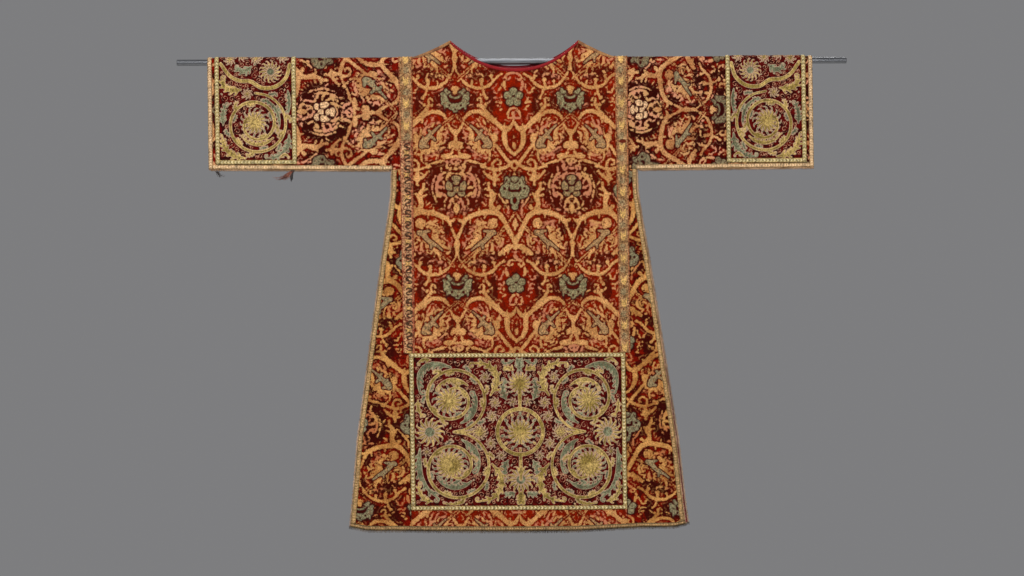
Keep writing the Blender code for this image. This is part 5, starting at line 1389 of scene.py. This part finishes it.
# ---- fringe ----
STRAND_PITCH, STRAND_RADIUS, STRAND_CORNERS = 0.0015, 0.00055, np.array([0.5, 2.6, 4.7])
HEADER_RADIUS, HEADER_SIDES = 0.0008, 6
LINE_PITCH = 0.004
STRAND_START, STRAND_FOOT = 0.0005, 0.0004      # the first one's place along the edge, and how far out they start
STRAND_LONG, STRAND_LEAN, STRAND_DEEP = (0.72, 1.02), 0.0006, 0.0007
SWAY, SWAYS = 0.0011, 260.0                     # how far they lean together, and how often, in radians a metre
STRAND_TAPER = ((0.0, 0.9), (0.5, 1.0), (0.85, 0.8), (1.0, 0.35))
TUFT_RADIUS, TUFT_SPREAD, TUFT_OFF, TUFT_WAVE = 0.0008, 0.004, 0.002, 0.0012
Y_WAY = np.array([0.0, 1.0, 0.0])


def edge_lines(side):
    """The free lower edges: name of the node, points along the cloth's edge, length of the fringe."""
    lines = []
    for hand in (-1, 1):
        out = steps(UNDERARM_X + FRINGE_EDGE + FRINGE_ROOT, CUFF_X, LINE_PITCH)
        lines.append((f"sleeve_{HANDS[hand]}", spot(hand * out, sleeve_edge(out), side, 0.0), FRINGE_EDGE))
        level = steps(-UNDERARM_DROP - 3 * GAP, -HEM_DROP, LINE_PITCH)
        lines.append((f"side_{HANDS[hand]}", spot(hand * side_edge(level), level, side, 0.0), FRINGE_EDGE))
    hem = spot(steps(-side_edge(-HEM_DROP), side_edge(-HEM_DROP), LINE_PITCH), -HEM_DROP, side, 0.0)
    corner = np.array([FRINGE_EDGE, 0.0, 0.0])
    lines.append(("hem", np.concatenate([[hem[0] - corner], hem, [hem[-1] + corner]]), FRINGE_HEM))
    return lines


def unit(ways):
    return ways / np.linalg.norm(ways, axis=1, keepdims=True)


def make_fringe(name, line, length, seed):
    """A row of loose threads that hang or stand out from a corded strip just outside the edge."""
    chance = np.random.default_rng(seed)
    run = np.diff(line, axis=0)
    out = unit(np.stack([run[:, 2], np.zeros(len(run)), -run[:, 0]], axis=-1))
    upright = np.abs(run[:, 2]) > np.abs(run[:, 0])
    out *= np.sign(np.where(upright, out[:, 0] * line[0, 0], -out[:, 2]))[:, None]
    reach = np.concatenate([[0.0], np.cumsum(np.linalg.norm(run, axis=1))])
    places = np.arange(STRAND_START, reach[-1], STRAND_PITCH)
    cell = np.clip(np.searchsorted(reach, places) - 1, 0, len(run) - 1)
    foot = np.stack([np.interp(places, reach, line[:, axis]) for axis in range(3)], axis=-1)
    ways, sway, count = out[cell], unit(run)[cell], len(places)
    long = length * chance.uniform(*STRAND_LONG, count)
    lean = SWAY * np.sin(places * SWAYS) + chance.normal(0.0, STRAND_LEAN, count)
    deep = chance.uniform(-STRAND_DEEP, STRAND_DEEP, count)
    rings = []
    for share, thick in STRAND_TAPER:
        middle = foot + ways * (STRAND_FOOT + long * share)[:, None] + sway * (lean * share ** 1.5)[:, None]
        middle += Y_WAY * (deep * (0.4 + 0.6 * share))[:, None]
        corners = sway[:, None] * np.cos(STRAND_CORNERS)[:, None] + Y_WAY * np.sin(STRAND_CORNERS)[:, None]
        rings.append(middle[:, None] + corners * STRAND_RADIUS * thick)
    # The hem's threads take the darker look, which is partly painted shade for the shadow under the hem.
    look = HEM_FRINGE_SHADED_LOOK if name.endswith("hem") else FRINGE_LOOK
    item = tubes(f"threads_{name}", np.stack(rings, axis=1), look)
    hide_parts(f"fringe_{name}")
    mean = unit(np.concatenate([out[:1], out[:-1] + out[1:], out[-1:]]))
    turn = np.arange(HEADER_SIDES)[:, None] * 2 * np.pi / HEADER_SIDES
    cord = line[:, None] + (mean * (GAP + HEADER_RADIUS))[:, None]
    cord = cord + HEADER_RADIUS * (mean[:, None] * np.cos(turn) + Y_WAY * np.sin(turn))
    tubes(f"cord_{name}", cord[None], look)


def make_tuft(name, foot, reach, count, look, seed):
    """Loose ends that hang from the sleeve's fringe and lie over each other; foot and reach are (x, z)."""
    chance = np.random.default_rng(seed)
    share = np.linspace(0.0, 1.0, 6)
    corners = np.cos(STRAND_CORNERS)[:, None] * (1.0, 0.0, 0.0) + np.sin(STRAND_CORNERS)[:, None] * (0.0, 1.0, 0.3)
    lines = []
    for _ in range(count):
        start = np.array([foot[0] + chance.uniform(-TUFT_SPREAD, TUFT_SPREAD), 0.0, foot[1]])
        end = np.array([foot[0] + reach[0] * chance.uniform(0.3, 1.0),
                        chance.uniform(-TUFT_SPREAD, 0.5 * TUFT_SPREAD),
                        foot[1] + reach[1] * chance.uniform(0.6, 1.0)])
        line = start + share[:, None] * (end - start)
        line[:, 2] += reach[1] * chance.uniform(0.2, 0.7) * np.sin(np.pi * share) * share
        line[:, 0] += TUFT_WAVE * np.sin(share * chance.uniform(4.0, 9.0) + chance.uniform(0.0, 6.0))
        line[:, 1] -= WRAP + CLOTH / 2 + TUFT_OFF
        thick = TUFT_RADIUS * (1.1 - 0.6 * share)
        lines.append(line[:, None] + thick[:, None, None] * corners)
    tubes(name, np.stack(lines), look)


# ---- rod ----
ROD_CORNERS, ROD_EDGE = 48, 0.001


def make_rod():
    turn = 2.0 * np.pi * np.arange(ROD_CORNERS) / ROD_CORNERS
    low, high = (ROD_HALF, ROD_RADIUS - ROD_EDGE), (ROD_HALF - ROD_EDGE, ROD_RADIUS)
    rings = [np.stack([np.full(ROD_CORNERS, sign * x), radius * np.cos(turn), radius * np.sin(turn)], axis=-1)
             for sign, x, radius in ((-1, *low), (-1, *high), (1, *high), (1, *low))]
    item = tubes("rod_steel", np.stack(rings)[None], STEEL)
    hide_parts("rod")


CUFF_PITCH, CUFF_BRAID_PITCH = 0.0019, 0.0035
APPAREL_SEED, CUFF_SEED, FRINGE_SEED = 5, 11, 20
# For each side: the pitch of the panel's and gores' grids, of the apparel's and of the braids'.
PITCHES = {FRONT: (0.0025, 0.0018, 0.0030), BACK: (0.0034, 0.0027, 0.0045)}
# Loose ends at the left sleeve: name, foot, reach, how many, look, seed.
TUFTS = (
    ("tuft_sleeve_left", (-0.496, -0.246), (-0.044, -0.020), 44, TUFT_LOOK, 71),
    ("tuft_dark_left", (-0.494, -0.244), (-0.006, -0.027), 12, TUFT_DARK_LOOK, 72),
    ("tuft_cuff_left", (-0.664, -0.246), (0.020, -0.013), 12, TUFT_DARK_LOOK, 73),
)
make_rod()
for body_side, (cloth_pitch, apparel_pitch, braid_pitch) in PITCHES.items():
    make_panel(body_side, cloth_pitch)
    for gore_hand in (-1, 1):
        make_gore(body_side, gore_hand, cloth_pitch)
    make_apparel(body_side, apparel_pitch)
    make_body_braids(body_side, braid_pitch)
    make_neck_binding(body_side)
    for number, (edge_name, edge, fringe_length) in enumerate(edge_lines(body_side)):
        make_fringe(f"{WORDS[body_side]}_{edge_name}", edge, fringe_length, FRINGE_SEED + number + 10 * body_side)
for tuft in TUFTS:
    make_tuft(*tuft)
for arm in (-1, 1):
    make_sleeve(arm)
    make_cuff_apparel(arm, CUFF_PITCH)
    make_cuff_braids(arm, CUFF_BRAID_PITCH)
    make_clavi(arm)
    make_shoulder_braid(arm)


# ---- floor, light and camera ----
FLOOR_LEVEL = -1.32
floor_look = Look("floor", 0.9)
floor_colour = floor_look.shade("c8c6c2", floor_look.noise(3, 3), 0.97, 1.03)
floor_mesh = bpy.data.meshes.new("floor")
corners = [(x, y, FLOOR_LEVEL) for x, y in ((-2.2, -2.6), (2.2, -2.6), (2.2, 1.3), (-2.2, 1.3))]
floor_mesh.from_pydata(corners, [], [(0, 1, 2, 3)])
floor_mesh.materials.append(floor_look.finish(floor_colour))
floor = add("floor", floor_mesh)

# Each lamp: name, place, what it aims at, width, power.
for name, place, aim, size, power in (
    ("key", (-2.4, -3.6, 1.6), (0.0, 0.0, -0.5), 1.6, 112.0), ("fill", (2.6, -3.8, 0.6), (0.0, 0.0, -0.5), 2.4, 67.0),
    ("back", (0.6, 3.6, 1.4), (0.0, 0.0, -0.5), 2.4, 60.0), ("top", (0.0, -1.0, 2.6), (0.0, 0.0, -0.3), 2.0, 22.0),
):
    lamp = bpy.data.lights.new(name, "AREA")
    lamp.shape, lamp.size, lamp.energy = "DISK", size, power
    item = add(name, lamp)
    item.location = place
    way = np.subtract(aim, place)
    turn = math.atan2(way[0], -way[1]) + math.pi
    item.rotation_euler = (math.atan2(math.hypot(way[0], way[1]), -way[2]), 0.0, turn)

world = bpy.data.worlds.new("studio")
world.use_nodes = True
world.node_tree.nodes["Background"].inputs["Color"].default_value = (0.206, 0.206, 0.212, 1.0)
world.node_tree.nodes["Background"].inputs["Strength"].default_value = 1.0
bpy.context.scene.world = world

CAMERA_BACK = 6.0           # how far the camera stands from the cloth
FRAME_WIDTH = 1024 * UNIT
camera_data = bpy.data.cameras.new("camera")
camera_data.sensor_width = 36.0
camera_data.lens = 36.0 * CAMERA_BACK / FRAME_WIDTH
camera_data.clip_start, camera_data.clip_end = 0.1, 50.0
camera = add("camera", camera_data)
camera.matrix_world = (Matrix.Translation((-0.0011, -CAMERA_BACK - 0.015, -0.5108))
                       @ Matrix.Rotation(math.pi / 2, 4, "X") @ Matrix.Rotation(-0.00375, 4, "Z"))
bpy.context.scene.camera = camera

bpy.context.scene.view_settings.view_transform = "Standard"
